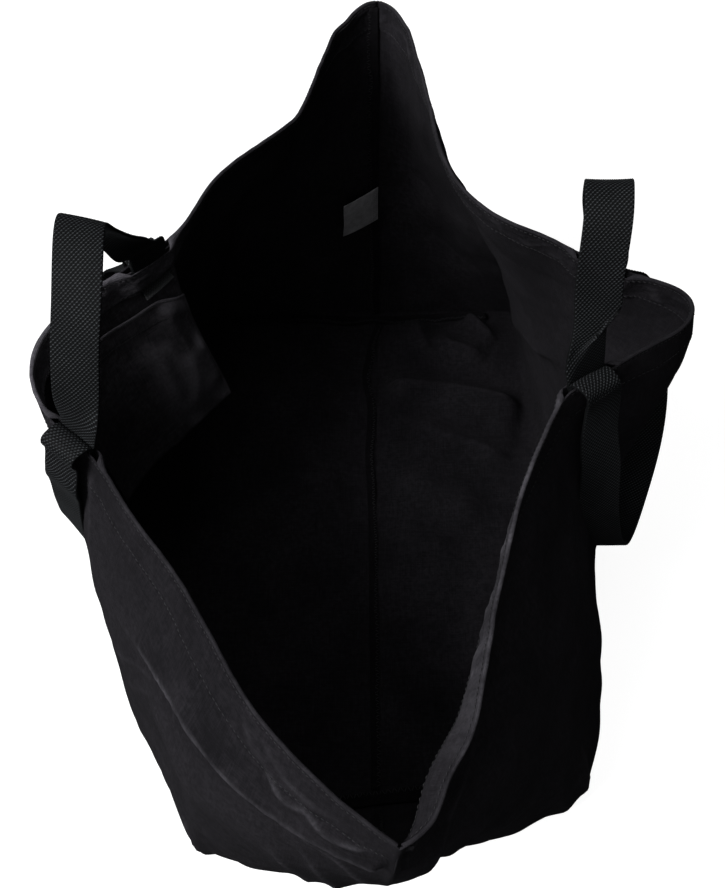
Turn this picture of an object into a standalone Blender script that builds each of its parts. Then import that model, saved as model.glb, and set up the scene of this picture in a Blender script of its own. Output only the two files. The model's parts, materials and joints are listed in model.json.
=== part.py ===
"""Large open-top tote bag with a boxed base, two short grab handles and two long straps.

Metres, +Z up.  The bag stands on its base, the mouth pulled open.  +X is towards the right
panel, +Y towards the far side seam; the side seams lie near the plane X = 0.  The work is done
in millimetres and scaled at the end.  The origin is the middle of the outline, on the floor.
"""
import math

import bmesh
import bpy
import numpy as np

for _o in list(bpy.data.objects):
    bpy.data.objects.remove(_o, do_unlink=True)

# ------------------------------------------------------------------ driving dimensions (mm)
FLAT_WIDTH = 718.0      # one panel, side seam to side seam
WALL = 305.0            # panel height above the base fold
CLOTH = 1.2             # heavy cotton canvas
FACING = 1.0            # turned hem facing
HEM = 22.0              # height of the hem
WEB = 25.0              # webbing width
WEB_T = 1.7             # webbing thickness
GAP = 0.3               # air left between touching pieces
SEAM_CUT = 0.15         # half of the gap between the two panels at a seam
TAB_DEPTH = 30.0        # length of webbing sewn in below the rim
POCKET_T = 0.9          # pocket cloth
POCKET_U = (0.482, 0.652)   # the pocket's place along the left panel
SHORT_PIVOT = 8.0       # flex line of a short handle above the rim
NECK = {'short': 2.2, 'long': 1.7}   # half width of the webbing at a flex line, where it creases
FOLD_R = 4.0            # radius of a long strap's fold over the rim
LABEL_W, LABEL_H, LABEL_T = 34.0, 36.0, 0.5
FRAME_X, FRAME_Y = -3.77, -32.07   # middle of the outline, moved to the origin

SIDES = ('left', 'right')
U_ATTACH = {'left': (0.386, 0.622), 'right': (0.386, 0.609)}   # handle positions along the rim
U_CORNER = (0.19, 0.81)                                         # base corners along the panel

# Rim of each panel from the near seam to the far seam: the open mouth's own curve.
RIM = {
    'left': [(8, -315, 274), (-20, -294, 280), (-43, -273, 285), (-64, -249, 288), (-82, -220, 292),
             (-109, -176, 296), (-133, -144, 299), (-152, -116, 300), (-163, -106, 301), (-174, -97, 302),
             (-187, -80, 304), (-193, -60, 305), (-193, -44, 304), (-183, -16, 299), (-164, 10, 294),
             (-139, 33, 291), (-119, 59, 291), (-95, 103, 293), (-72, 126, 294), (-49, 150, 297),
             (-28, 206, 300), (-13, 243, 303), (5, 252, 305)],
    'right': [(8, -315, 274), (18, -304, 276), (33, -283, 280), (43, -267, 284), (49, -245, 287),
              (54, -223, 289), (58, -197, 292), (62, -176, 295), (67, -155, 297), (77, -129, 299),
              (91, -101, 301), (106, -78, 303), (117, -69, 303), (128, -62, 302), (150, -46, 298),
              (177, -26, 292), (188, -11, 290), (187, 4, 288), (171, 16, 287), (154, 23, 287),
              (141, 28, 288), (128, 36, 288), (103, 52, 288), (73, 69, 289), (52, 93, 291),
              (39, 150, 297), (30, 215, 302), (20, 243, 304), (5, 252, 305)]}
# Outline of the base: the end of the near seam, the near corner, the side, the far corner, the far seam.
NEAR_END, FAR_END = (-3.0, -228.0), (8.0, 222.0)
BASE_SIDE = {
    'left': [(-131, -241), (-151, -190), (-160, -115), (-151, -10), (-138, 84), (-133, 170), (-132, 224)],
    'right': [(146, -211), (162, -170), (165, -115), (153, -15), (138, 84), (134, 170), (132, 224)]}
# Fullness of the wall (mm outwards at a third and two thirds of its height) at stations along the panel.
STATIONS = [0, .09, .19, .28, .38, .50, .62, .72, .81, .90, 1.0]
FULLNESS = {
    'left': [(26, 25), (32, 34), (14, 22), (19, 20), (16, 16), (10, 5), (8, 5), (10, 12), (12, 12), (10, 10), (6, 4)],
    'right': [(26, 25), (24, 24), (15, 10), (12, 8), (4, 4), (0, -4), (6, 4), (8, 6), (5, 4), (8, 6), (6, 4)]}
# How far the cloth just under the rim leans in (mm), which makes the hem flare outwards there.
FLARE = {
    'left': [0, 0, 0, 0, 0, 0, 0, -3, -3, 0, 0],
    'right': [0, 6, 9, 4, 0, 0, 0, 0, 0, 0, 0]}
OUTWARD = [90, 82, 55, 25, 8, 0, -8, -20, -50, -80, -90]   # degrees from sideways, positive towards the near seam


# ------------------------------------------------------------------ curves and surfaces
def cubic(points, par=None):
    """Natural cubic spline through the points, by chord length unless par is given."""
    p = np.asarray(points, float)
    if par is None:
        par = np.r_[0, np.cumsum(np.linalg.norm(np.diff(p, axis=0), axis=1))]
    t = np.asarray(par, float)
    n, h = len(t), np.diff(t)
    A, b = np.zeros((n, n)), np.zeros((n, p.shape[1]))
    A[0, 0] = A[-1, -1] = 1
    for i in range(1, n - 1):
        A[i, i - 1], A[i, i], A[i, i + 1] = h[i - 1], 2 * (h[i - 1] + h[i]), h[i]
        b[i] = 6 * ((p[i + 1] - p[i]) / h[i] - (p[i] - p[i - 1]) / h[i - 1])
    m = np.linalg.solve(A, b)

    def f(x):
        x = np.clip(np.asarray(x, float), t[0], t[-1])
        i = np.clip(np.searchsorted(t, x, side='right') - 1, 0, n - 2)
        d, e, k = (x - t[i])[..., None], (t[i + 1] - x)[..., None], h[i][..., None]
        return ((m[i] * e ** 3 + m[i + 1] * d ** 3) / (6 * k) + (p[i] / k - m[i] * k / 6) * e
                + (p[i + 1] / k - m[i + 1] * k / 6) * d)
    return f, t[-1]


def smooth(x):
    x = np.clip(x, 0, 1)
    return x * x * (3 - 2 * x)


CURVES = {}
for _s in SIDES:
    CURVES[_s] = dict(rim=cubic(RIM[_s]), side=cubic(BASE_SIDE[_s]), full=cubic(FULLNESS[_s], STATIONS)[0],
                      flare=cubic([(q,) for q in FLARE[_s]], STATIONS)[0],
                      out=cubic([(q,) for q in OUTWARD], STATIONS)[0])


def base_edge(side, u):
    """The base outline of one panel, u = 0 at the near seam and 1 at the far seam."""
    u = np.asarray(u, float)
    f, length = CURVES[side]['side']
    a, c = U_CORNER
    near, far = np.array(NEAR_END), np.array(FAR_END)
    cn, cf = np.array(BASE_SIDE[side][0], float), np.array(BASE_SIDE[side][-1], float)
    w1, w2 = (u / a)[..., None], ((u - c) / (1 - c))[..., None]
    mid = f((u - a) / (c - a) * length)
    xy = np.where(u[..., None] <= a, near * (1 - w1) + cn * w1, np.where(u[..., None] >= c, cf * (1 - w2) + far * w2, mid))
    return np.concatenate([xy, np.zeros(u.shape + (1,))], -1)


def wall(side, u, v):
    """Outer face of the panel's wall; v = 0 at the base fold and 1 at the rim."""
    u, v = np.broadcast_arrays(np.asarray(u, float), np.asarray(v, float))
    c = CURVES[side]
    rim, length = c['rim']
    low, high = base_edge(side, u), rim(u * length)
    full = c['full'](u)
    off = full[..., 0] * 13.5 * v * (v - 2 / 3) * (v - 1) - full[..., 1] * 13.5 * v * (v - 1 / 3) * (v - 1)
    off = off - c['flare'](u)[..., 0] * smooth((v - .72) / .19) * smooth((1 - v) / .085)
    a = np.radians(c['out'](u)[..., 0])
    sg = -1 if side == 'left' else 1
    n = np.stack([sg * np.cos(a), -np.sin(a), 0 * a], -1)
    return low * (1 - v[..., None]) + high * v[..., None] + n * off[..., None]


def wall_frame(side, u, v):
    """Point, outward normal and upward tangent of the wall."""
    u, v = np.broadcast_arrays(np.asarray(u, float), np.asarray(v, float))
    e = 0.004
    p = wall(side, u, v)
    du = wall(side, np.clip(u + e, 0, 1), v) - wall(side, np.clip(u - e, 0, 1), v)
    dv = wall(side, u, np.clip(v + e, 0, 1)) - wall(side, u, np.clip(v - e, 0, 1))
    n = np.cross(du, dv) if side == 'right' else np.cross(dv, du)
    n /= np.linalg.norm(n, axis=-1, keepdims=True)
    t = dv / np.linalg.norm(dv, axis=-1, keepdims=True)
    edge = ((u < 1e-6) | (u > 1 - 1e-6))[..., None]
    flat = n * np.array([0., 1., 1.])
    flat /= np.maximum(np.linalg.norm(flat, axis=-1, keepdims=True), 1e-9)
    return p, np.where(edge, flat, n), t


def local(side, u, a, b):
    """A point by its distance a outwards from the wall and b along the wall from the rim (up is +)."""
    u, a, b = np.broadcast_arrays(np.asarray(u, float), np.asarray(a, float), np.asarray(b, float))
    p, n, t = wall_frame(side, u, np.clip(1 + b / WALL, 0, 1))
    return p + n * a[..., None] + t * np.maximum(b, 0)[..., None]


def bump(side, u, half, fall):
    """1 at the two handle positions, falling to 0 around them (mm along the rim)."""
    s = np.asarray(u, float) * FLAT_WIDTH
    r = 0 * s
    for ua in U_ATTACH[side]:
        r = np.maximum(r, smooth((half + fall - np.abs(s - ua * FLAT_WIDTH)) / fall))
    return r


def packing(side, u):
    """Room (mm) for the pocket's top edge under the left hem."""
    if side == 'right':
        return 0 * np.asarray(u, float)
    a, b = POCKET_U
    d = (np.abs(np.asarray(u, float) - (a + b) / 2) - (b - a) / 2) * FLAT_WIDTH
    return (POCKET_T + GAP) * smooth((14.0 - d) / 13.0)


# ------------------------------------------------------------------ solids
def material(name, rgb, rough):
    m = bpy.data.materials.new(name)
    m.use_nodes = True
    b = m.node_tree.nodes['Principled BSDF']
    b.inputs['Base Color'].default_value = (*rgb, 1)
    b.inputs['Roughness'].default_value = rough
    b.inputs['Metallic'].default_value = 0.0
    return m


CANVAS = (0.012, 0.011, 0.014)
WEBBING = (0.022, 0.026, 0.029)
LABEL = (0.050, 0.050, 0.054)


def add(name, verts, faces, rgb, rough=0.85, origin=(0, 0, 0)):
    """One closed body, its faces turned outwards, its origin at the given point."""
    shift = np.array([FRAME_X, FRAME_Y, 0.0])
    o = (np.asarray(origin, float) - shift) if np.any(np.asarray(origin)) else np.zeros(3)
    v = (np.asarray(verts, float) - shift - o) / 1000.0
    me = bpy.data.meshes.new(name)
    me.from_pydata([tuple(q) for q in v], [], [tuple(int(i) for i in f) for f in faces])
    bm = bmesh.new()
    bm.from_mesh(me)
    bmesh.ops.recalc_face_normals(bm, faces=bm.faces)
    if bm.calc_volume(signed=True) < 0:
        bmesh.ops.reverse_faces(bm, faces=bm.faces)
    bm.to_mesh(me)
    bm.free()
    me.materials.append(material(name + '_finish', rgb, rough))
    ob = bpy.data.objects.new(name, me)
    ob.location = tuple(o / 1000.0)
    bpy.context.scene.collection.objects.link(ob)
    me.shade_smooth()
    me.set_sharp_from_angle(angle=math.radians(40))
    return ob


def slab(name, top, bottom, rgb, rough=0.85, origin=(0, 0, 0)):
    """A closed sheet between two grids of points of the same size."""
    n, m = top.shape[:2]
    verts = np.concatenate([top.reshape(-1, 3), bottom.reshape(-1, 3)])
    k, faces = n * m, []
    for i in range(n - 1):
        for j in range(m - 1):
            a, b, c, d = i * m + j, i * m + j + 1, (i + 1) * m + j + 1, (i + 1) * m + j
            for f in ((a, b, c), (a, c, d)):
                faces += [f, tuple(k + x for x in f[::-1])]
    ring = ([(0, j) for j in range(m)] + [(i, m - 1) for i in range(1, n)]
            + [(n - 1, j) for j in range(m - 2, -1, -1)] + [(i, 0) for i in range(n - 2, 0, -1)])
    ring = [i * m + j for i, j in ring]
    for a, b in zip(ring, ring[1:] + ring[:1]):
        faces.append((a, k + a, k + b, b))
    return add(name, verts, faces, rgb, rough, origin)


def ribbon(name, centre, width_dir, half, thick, rgb, origin=(0, 0, 0)):
    """Flat webbing along a centre line; half is the half width at each point."""
    c, w = np.asarray(centre, float), np.asarray(width_dir, float)
    t = np.gradient(c, axis=0)
    t /= np.linalg.norm(t, axis=1, keepdims=True)
    w = w - t * (w * t).sum(1, keepdims=True)
    w /= np.linalg.norm(w, axis=1, keepdims=True)
    n = np.cross(t, w)
    h = np.asarray(half, float)[:, None]
    across = np.array([-1.0, 1.0])
    grid = c[:, None] + (w * h)[:, None] * across[None, :, None]
    return slab(name, grid + n[:, None] * thick / 2, grid - n[:, None] * thick / 2, rgb, 0.8, origin)


# ------------------------------------------------------------------ the two panels
HALF_TAB = WEB / 2 / FLAT_WIDTH
ATTACH_OFFSETS = np.array([-.042, -.029, -HALF_TAB, -HALF_TAB / 2, 0, HALF_TAB / 2, HALF_TAB, .029, .042])


def u_samples(side):
    """Stations along a panel, shared by everything sewn to it, so that the facets match."""
    a, c = U_CORNER
    end = np.array([0, .012, .035, .065, .10, .13, .16])
    mid = np.linspace(a, c, 20)
    for ua in U_ATTACH[side]:
        mid = mid[np.abs(mid - ua) > .05]
    mid = np.r_[mid, np.ravel([ua + ATTACH_OFFSETS for ua in U_ATTACH[side]])]
    if side == 'left':
        mid = np.r_[mid, POCKET_U, POCKET_U[0] - .02]
    mid = np.sort(mid)
    mid = mid[np.r_[True, np.diff(mid) > .0025]]
    return np.r_[end, mid, 1 - end[::-1]]


V_ROWS = np.array([0, .04, .13, .27, .42, .57, .71, .82, 1 - TAB_DEPTH / WALL, 1 - HEM / WALL, 1.0])


def seam_shift(side, u, pts):
    """Leaves the seam gap between the panels where they meet."""
    sg = -1 if side == 'left' else 1
    k = ((np.asarray(u) < 1e-6) | (np.asarray(u) > 1 - 1e-6))
    pts = pts.copy()
    pts[k, ..., 0] += sg * SEAM_CUT
    return pts


def panel(side):
    """Wall and half of the base in one piece of cloth, folded at the base edge."""
    u = u_samples(side)
    k1 = int(np.searchsorted(u, U_CORNER[0] - 1e-6))
    k2 = int(np.searchsorted(u, U_CORNER[1] - 1e-6)) - k1
    last = len(u) - 1
    sg = -1 if side == 'left' else 1
    outer, inner = [], []
    for v in V_ROWS:
        p, n, _ = wall_frame(side, u, v)
        p = seam_shift(side, u, p)
        if v == 0:
            n = n * np.array([1., 1., 0.])
            n /= np.linalg.norm(n, axis=-1, keepdims=True)
            q = p - n * CLOTH + np.array([0, 0, CLOTH])
        else:
            q = p - n * CLOTH
        outer += list(p)
        inner += list(q)
    side_edge = base_edge(side, u[k1:k1 + k2 + 1])
    near, far = np.array([*NEAR_END, 0]), np.array([*FAR_END, 0])
    index = {}
    for i in range(k2 + 1):
        for j in range(k1 + 1):
            if i == 0:
                index[i, j] = j
            elif i == k2:
                index[i, j] = last - j
            elif j == k1:
                index[i, j] = k1 + i
            else:
                c = near + (far - near) * i / k2
                p = c + (side_edge[i] - c) * j / k1
                if j == 0:
                    p = p + np.array([sg * SEAM_CUT, 0, 0])
                index[i, j] = len(outer)
                outer.append(p)
                inner.append(p + np.array([0, 0, CLOTH]))
    m, faces = len(u), []
    for i in range(len(V_ROWS) - 1):
        for j in range(m - 1):
            a, b, c, d = i * m + j, i * m + j + 1, (i + 1) * m + j + 1, (i + 1) * m + j
            faces += [(a, b, c), (a, c, d)]
    for i in range(k2):
        for j in range(k1):
            faces.append((index[i, j + 1], index[i, j], index[i + 1, j], index[i + 1, j + 1]))
    top = (len(V_ROWS) - 1) * m
    ring = ([top + j for j in range(m)] + [i * m + last for i in range(len(V_ROWS) - 2, -1, -1)]
            + [index[i, 0] for i in range(k2 - 1, 0, -1)] + [i * m for i in range(0, len(V_ROWS) - 1)])
    k = len(outer)
    faces += [tuple(k + x for x in f[::-1]) for f in faces]
    faces += [(a, k + a, k + b, b) for a, b in zip(ring, ring[1:] + ring[:1])]
    return add('panel_' + side, np.array(outer + inner), faces, CANVAS, 0.9)


def facing(side):
    """The hem turned to the inside, lifted over the four ends of webbing."""
    u = u_samples(side)[1:-1]
    v = 1 + np.array([-HEM, 0.0]) / WALL
    uu, vv = np.meshgrid(u, v)
    p, n, _ = wall_frame(side, uu, vv)
    off = CLOTH + GAP + bump(side, uu, 13.5, 16) * 2 * (WEB_T + GAP) + packing(side, uu)
    return slab('hem_facing_' + side, p - n * off[..., None], p - n * (off + FACING)[..., None], CANVAS, 0.9)


# ------------------------------------------------------------------ seams inside the bag
def side_seam(name, u):
    """Bound allowance of a side seam, standing inwards along the seam."""
    v = np.r_[V_ROWS[1:]]
    p, n, _ = wall_frame('left', u + 0 * v, v)
    p[-1], n[-1] = p[-1] * .8 + p[-2] * .2, n[-1] * .8 + n[-2] * .2
    lo = CLOTH + 0.5 + 2.2 * smooth((v - .75) / .15)
    hi = lo + 8.0
    a, b = p - n * lo[:, None], p - n * hi[:, None]
    x = np.array([0.7, 0, 0])
    top = np.stack([a + x, b + x], 1)
    bot = np.stack([a - x, b - x], 1)
    return slab(name, top, bot, CANVAS, 0.9)


def flat_seam(name, line, width):
    """A seam allowance lying on the base."""
    c = np.asarray(line, float)
    t = np.gradient(c, axis=0)
    t /= np.linalg.norm(t, axis=1, keepdims=True)
    n = np.stack([-t[:, 1], t[:, 0]], 1)
    a, b = c - n * width / 2, c + n * width / 2
    z0, z1 = CLOTH + GAP, CLOTH + GAP + 1.6
    top = np.stack([np.c_[a, 0 * a[:, 0] + z1], np.c_[b, 0 * b[:, 0] + z1]], 1)
    bot = np.stack([np.c_[a, 0 * a[:, 0] + z0], np.c_[b, 0 * b[:, 0] + z0]], 1)
    return slab(name, top, bot, CANVAS, 0.9)


for s in SIDES:
    panel(s)
    facing(s)
side_seam('side_seam_near', 0.0)
side_seam('side_seam_far', 1.0)
ys = np.linspace(NEAR_END[1] + 20, FAR_END[1] - 20, 10)
flat_seam('bottom_seam', np.c_[np.interp(ys, [NEAR_END[1], FAR_END[1]], [NEAR_END[0], FAR_END[0]]), ys], 10.0)
inset = 9.0
ln, rn = BASE_SIDE['left'][0], BASE_SIDE['right'][0]
flat_seam('boxed_seam_near', [(ln[0] + 14, ln[1] + inset + 1), ((ln[0] + NEAR_END[0]) / 2, (ln[1] + NEAR_END[1]) / 2 + inset),
                              (NEAR_END[0], NEAR_END[1] + inset), ((rn[0] + NEAR_END[0]) / 2, (rn[1] + NEAR_END[1]) / 2 + inset),
                              (rn[0] - 16, rn[1] + inset - 3)], 9.0)
lf, rf = BASE_SIDE['left'][-1], BASE_SIDE['right'][-1]
flat_seam('boxed_seam_far', [(lf[0] + 12, lf[1] - inset), (FAR_END[0], FAR_END[1] - inset), (rf[0] - 12, rf[1] - inset)], 9.0)


# ------------------------------------------------------------------ pocket hanging inside the left panel
POCKET_DROP = 0.19        # part of the pocket's height between the hem and the opening's edge
POCKET_OPEN = 13.0        # how far the mouth stands open
POCKET_FOOT = [(-166, -58, 152), (-152, -28, 150), (-127, 3, 148), (-102, 32, 150)]


def pocket_point(q, r):
    """q along the pocket's width, r down from the hem's edge; r < 0 is under the hem."""
    q, r = np.broadcast_arrays(np.asarray(q, float), np.asarray(r, float))
    u = POCKET_U[0] + (POCKET_U[1] - POCKET_U[0]) * q
    rows = [wall_frame('left', u, v + 0 * u) for v in (1 - HEM / WALL, 1.0)]
    edge, rim = [p - n * (CLOTH + GAP) for p, n, _ in rows]
    foot_f, length = cubic(POCKET_FOOT)
    foot = foot_f(q * length)
    k = np.maximum(r, 0)[..., None]
    h = np.maximum(-r, 0)[..., None]
    return edge * (1 - k - h) + foot * k + rim * h


def pocket_normal(q, r):
    e = 0.01
    a = pocket_point(np.clip(q + e, 0, 1), r) - pocket_point(np.clip(q - e, 0, 1), r)
    b = pocket_point(q, np.where(r < 0, r + e, np.clip(r + e, 0, 1))) - pocket_point(q, np.where(r < 0, r - e, np.clip(r - e, 0, 1)))
    n = np.cross(b, a)
    n /= np.linalg.norm(n, axis=-1, keepdims=True)
    return n * np.where(n[..., :1] < 0, -1, 1)      # towards the inside of the bag


us = u_samples('left')
us = us[(us > POCKET_U[0] - 1e-6) & (us < POCKET_U[1] + 1e-6)]
across = (us - POCKET_U[0]) / (POCKET_U[1] - POCKET_U[0])
up = np.r_[np.linspace(1, POCKET_DROP, 8), 0.0, -0.85]
q, r = np.meshgrid(across, up)
p, n = pocket_point(q, r), pocket_normal(q, r)
hem_n = wall_frame('left', us, 1 - HEM / WALL + 0 * us)[1]
n[-1] = -hem_n
n[-2] = -hem_n
slab('pocket_back', p, p + n * POCKET_T, CANVAS, 0.9)
q, r = np.meshgrid(across, up[:-2])
p, n = pocket_point(q, r), pocket_normal(q, r)
lift = 1.2 + POCKET_OPEN * np.sin(np.pi * q) ** 0.8 * (1 - (r - POCKET_DROP) / (1 - POCKET_DROP)) ** 0.8
slab('pocket_front', p + n * lift[..., None], p + n * (lift + POCKET_T)[..., None], CANVAS, 0.9)

# ------------------------------------------------------------------ care label in the far side seam
LABEL_HINGE = np.array([6.4, 229.0, 133.0])
ang = math.radians(214)
d = np.array([math.cos(ang), math.sin(ang), 0.0])
nn = np.array([-d[1], d[0], 0.0])
a = np.array([LABEL_HINGE + d * t + np.array([0, 0, h]) for t in (0.6, LABEL_W) for h in (-LABEL_H / 2, LABEL_H / 2)]).reshape(2, 2, 3)
slab('care_label', a + nn * LABEL_T / 2, a - nn * LABEL_T / 2, LABEL, 0.6, LABEL_HINGE)


# ------------------------------------------------------------------ webbing
A_LONG = -(CLOTH + GAP + WEB_T / 2)                       # long strap end: against the panel
A_SHORT = -(CLOTH + 2 * GAP + 1.5 * WEB_T)                # short handle end: on top of it
A_OUT = A_LONG + 2 * FOLD_R                               # long strap outside the rim


def tab(name, side, ua, path):
    """A sewn end of webbing, following the curved panel; path holds (a, b) along its length."""
    u = ua + HALF_TAB * np.linspace(-1, 1, 5)
    path = np.asarray(path, float)
    t = np.gradient(path, axis=0)
    t /= np.linalg.norm(t, axis=1, keepdims=True)
    nrm = np.stack([t[:, 1], -t[:, 0]], 1)
    g = []
    for sgn in (1, -1):
        ab = path + sgn * nrm * WEB_T / 2
        g.append(local(side, u[None, :], ab[:, :1], ab[:, 1:]))
    return slab(name, g[0], g[1], WEBBING, 0.8)


def inset_at(side, end):
    """How far the pocket's top edge pushes this end of webbing inwards."""
    return float(packing(side, U_ATTACH[side][end]))


def pivot(side, end, kind):
    ua, e = U_ATTACH[side][end], inset_at(side, end)
    return local(side, ua, A_SHORT - e, SHORT_PIVOT) if kind == 'short' else local(side, ua, A_OUT - e, 1.0)


def lean(side, end):
    """Slope inwards of the cloth behind the raw end of the webbing, where the pocket hangs there."""
    if inset_at(side, end) == 0:
        return 0.0
    q = (U_ATTACH[side][end] - POCKET_U[0]) / (POCKET_U[1] - POCKET_U[0])
    _, n, t = wall_frame(side, U_ATTACH[side][end], 1 - HEM / WALL)
    d = pocket_point(q, .12) - pocket_point(q, 0.0)
    return float((d @ n) / (d @ t))


SHORT_PATH = {
    'left': [(-160, -99, 333), (-156, -88, 358), (-152, -75, 381), (-149, -58, 396), (-148, -42, 401), (-148, -26, 395),
             (-146, -12, 376), (-143, 4, 348), (-140, 18, 322)],
    'right': [(115, -62, 330), (115, -53, 358), (115, -43, 383), (116, -30, 399), (118, -17, 402), (121, -4, 393),
              (127, 7, 369), (133, 16, 343), (138, 23, 318)]}
LONG_PATH = {
    'left': [(-184, -108, 252), (-193, -101, 218), (-198, -91, 184), (-201, -77, 148), (-198, -52, 121), (-196, -26, 110),
             (-194, 2, 120), (-188, 24, 155), (-181, 38, 198), (-166, 47, 238), (-152, 46, 268)],
    'right': [(127, -82, 266), (135, -88, 238), (142, -93, 208), (150, -96, 182), (158, -90, 157), (170, -78, 138),
              (180, -56, 128), (188, -30, 138), (193, -6, 165), (192, 16, 198), (183, 34, 233), (163, 43, 263)]}
RIM_DIR = {  # direction of the webbing's width at the near and far ends
    'left': ((-0.77, 0.63, 0), (-0.76, -0.65, 0)), 'right': ((0.82, 0.57, 0), (0.90, -0.43, 0))}


def loop(name, side, kind, n):
    near, far = pivot(side, 0, kind), pivot(side, 1, kind)
    mid = (SHORT_PATH if kind == 'short' else LONG_PATH)[side]
    up = 1.5 if kind == 'short' else -2.8
    stub = 6.0 if kind == 'short' else -10.0
    out = np.zeros(3)
    if kind == 'long':
        out = np.array([-1.0 if side == 'left' else 1.0, 0, 0])
    pts = [near + (0, 0, up), near + (0, 0, stub) + out] + [np.array(m, float) for m in mid] + [far + (0, 0, stub) + out, far + (0, 0, up)]
    f, length = cubic(pts)
    s = np.linspace(0, length, n)
    c = f(s)
    sg = -1.0 if side == 'left' else 1.0
    wn, wf = (np.array(x, float) for x in RIM_DIR[side])
    k = s / length
    across = np.array([sg, 0, 0])
    turn = .22 if kind == 'short' else .40          # part of the length over which the webbing turns
    a1, a2 = smooth(1 - k / turn)[:, None], smooth((k - 1 + turn) / turn)[:, None]
    w = across * (1 - a1 - a2) + wn * a1 + wf * a2
    edge = np.minimum(s, length - s)
    half = NECK[kind] + (WEB / 2 - NECK[kind]) * smooth((edge - 1.0) / (30.0 if kind == 'short' else 40.0))
    return ribbon(name, c, w, half, WEB_T, WEBBING, near)


for s in SIDES:
    for end, word in enumerate(('near', 'far')):
        ua, e, k = U_ATTACH[s][end], inset_at(s, end), 1.25 * lean(s, end) * (TAB_DEPTH - HEM)
        tab('short_handle_%s_end_%s' % (s, word), s, ua,
            [(A_SHORT - e - k, -TAB_DEPTH), (A_SHORT - e, -HEM), (A_SHORT - e, 0), (A_SHORT - e, SHORT_PIVOT - 2.2)])
        arc = [(A_LONG - e + FOLD_R * (1 - math.cos(t)), 1.0 + FOLD_R * math.sin(t)) for t in np.linspace(0, .75 * math.pi, 6)]
        tab('long_strap_%s_end_%s' % (s, word), s, ua,
            [(A_LONG - e - k, -TAB_DEPTH), (A_LONG - e, -HEM), (A_LONG - e, 0)] + arc)
    loop('short_handle_' + s, s, 'short', 34)
    loop('long_strap_' + s, s, 'long', 44)
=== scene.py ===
"""Looks of a large black canvas tote bag with webbing handles, standing open on a pale floor.

Everything is worked out in millimetres in the construction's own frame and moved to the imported
frame when a mesh is made.  u runs along a panel from the near side seam (0) to the far one (1),
v from the base fold (0) to the rim (1), b along the cloth from the rim (up is +), and a outwards.
"""
import json
import math

import bpy
import numpy as np
from mathutils import Matrix, Vector


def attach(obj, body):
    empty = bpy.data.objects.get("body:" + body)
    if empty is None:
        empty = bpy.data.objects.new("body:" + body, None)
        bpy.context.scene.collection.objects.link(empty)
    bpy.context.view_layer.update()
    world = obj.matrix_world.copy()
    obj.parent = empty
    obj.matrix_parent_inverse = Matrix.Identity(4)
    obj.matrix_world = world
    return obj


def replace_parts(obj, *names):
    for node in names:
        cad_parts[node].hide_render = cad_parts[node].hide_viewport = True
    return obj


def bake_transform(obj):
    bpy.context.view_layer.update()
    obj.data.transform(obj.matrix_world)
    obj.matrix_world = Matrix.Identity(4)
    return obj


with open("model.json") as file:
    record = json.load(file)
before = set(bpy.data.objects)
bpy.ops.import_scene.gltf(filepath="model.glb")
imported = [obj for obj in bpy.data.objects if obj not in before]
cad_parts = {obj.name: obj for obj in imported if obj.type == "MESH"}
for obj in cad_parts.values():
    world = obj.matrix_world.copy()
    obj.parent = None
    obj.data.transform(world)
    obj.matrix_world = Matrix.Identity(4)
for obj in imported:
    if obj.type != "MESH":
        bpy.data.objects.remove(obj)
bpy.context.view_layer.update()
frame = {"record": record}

# ------------------------------------------------------------------ sizes, as in the construction (mm)
FLAT_WIDTH, WALL, CLOTH, FACING, HEM = 718.0, 305.0, 1.2, 1.0, 22.0
WEB, WEB_T, GAP, SEAM_CUT, TAB_DEPTH = 25.0, 1.7, 0.3, 0.15, 30.0
POCKET_T, POCKET_U, POCKET_DROP, POCKET_OPEN = 0.9, (0.482, 0.652), 0.19, 13.0
SHORT_PIVOT, FOLD_R = 8.0, 4.0
LABEL_W, LABEL_H, LABEL_T = 34.0, 36.0, 0.5
ORIGIN = np.array([-3.77, -32.07, 0.0])
SIDES = ('left', 'right')
U_ATTACH = {'left': (0.386, 0.622), 'right': (0.386, 0.609)}
U_CORNER = (0.19, 0.81)
RIM = {
    'left': [(8, -315, 274), (-20, -294, 280), (-43, -273, 285), (-64, -249, 288), (-82, -220, 292),
             (-109, -176, 296), (-133, -144, 299), (-152, -116, 300), (-163, -106, 301), (-174, -97, 302),
             (-187, -80, 304), (-193, -60, 305), (-193, -44, 304), (-183, -16, 299), (-164, 10, 294),
             (-139, 33, 291), (-119, 59, 291), (-95, 103, 293), (-72, 126, 294), (-49, 150, 297),
             (-28, 206, 300), (-13, 243, 303), (5, 252, 305)],
    'right': [(8, -315, 274), (23, -305, 276), (34, -283, 280), (43.5, -267, 284), (50.2, -245, 287),
              (55, -223, 289), (60.5, -197, 292), (65.8, -176, 295), (71.3, -155, 297), (80.5, -129, 299),
              (92.5, -101, 301), (106, -78, 303), (117, -69, 303), (128, -62, 302), (150, -46, 298),
              (177, -26, 292), (188, -11, 290), (187, 4, 288), (171, 16, 287), (154, 23, 287),
              (141, 28, 288), (128, 36, 288), (103, 52, 288), (73, 69, 289), (52, 93, 291),
              (39, 150, 297), (30, 215, 302), (20, 243, 304), (5, 252, 305)]}
NEAR_END, FAR_END = (-3.0, -228.0), (8.0, 222.0)
BASE_SIDE = {
    'left': [(-131, -241), (-151, -190), (-160, -115), (-151, -10), (-138, 84), (-133, 170), (-132, 224)],
    'right': [(146, -211), (162, -170), (165, -115), (153, -15), (138, 84), (134, 170), (132, 224)]}
STATIONS = [0, .09, .19, .28, .38, .50, .62, .72, .81, .90, 1.0]
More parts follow.
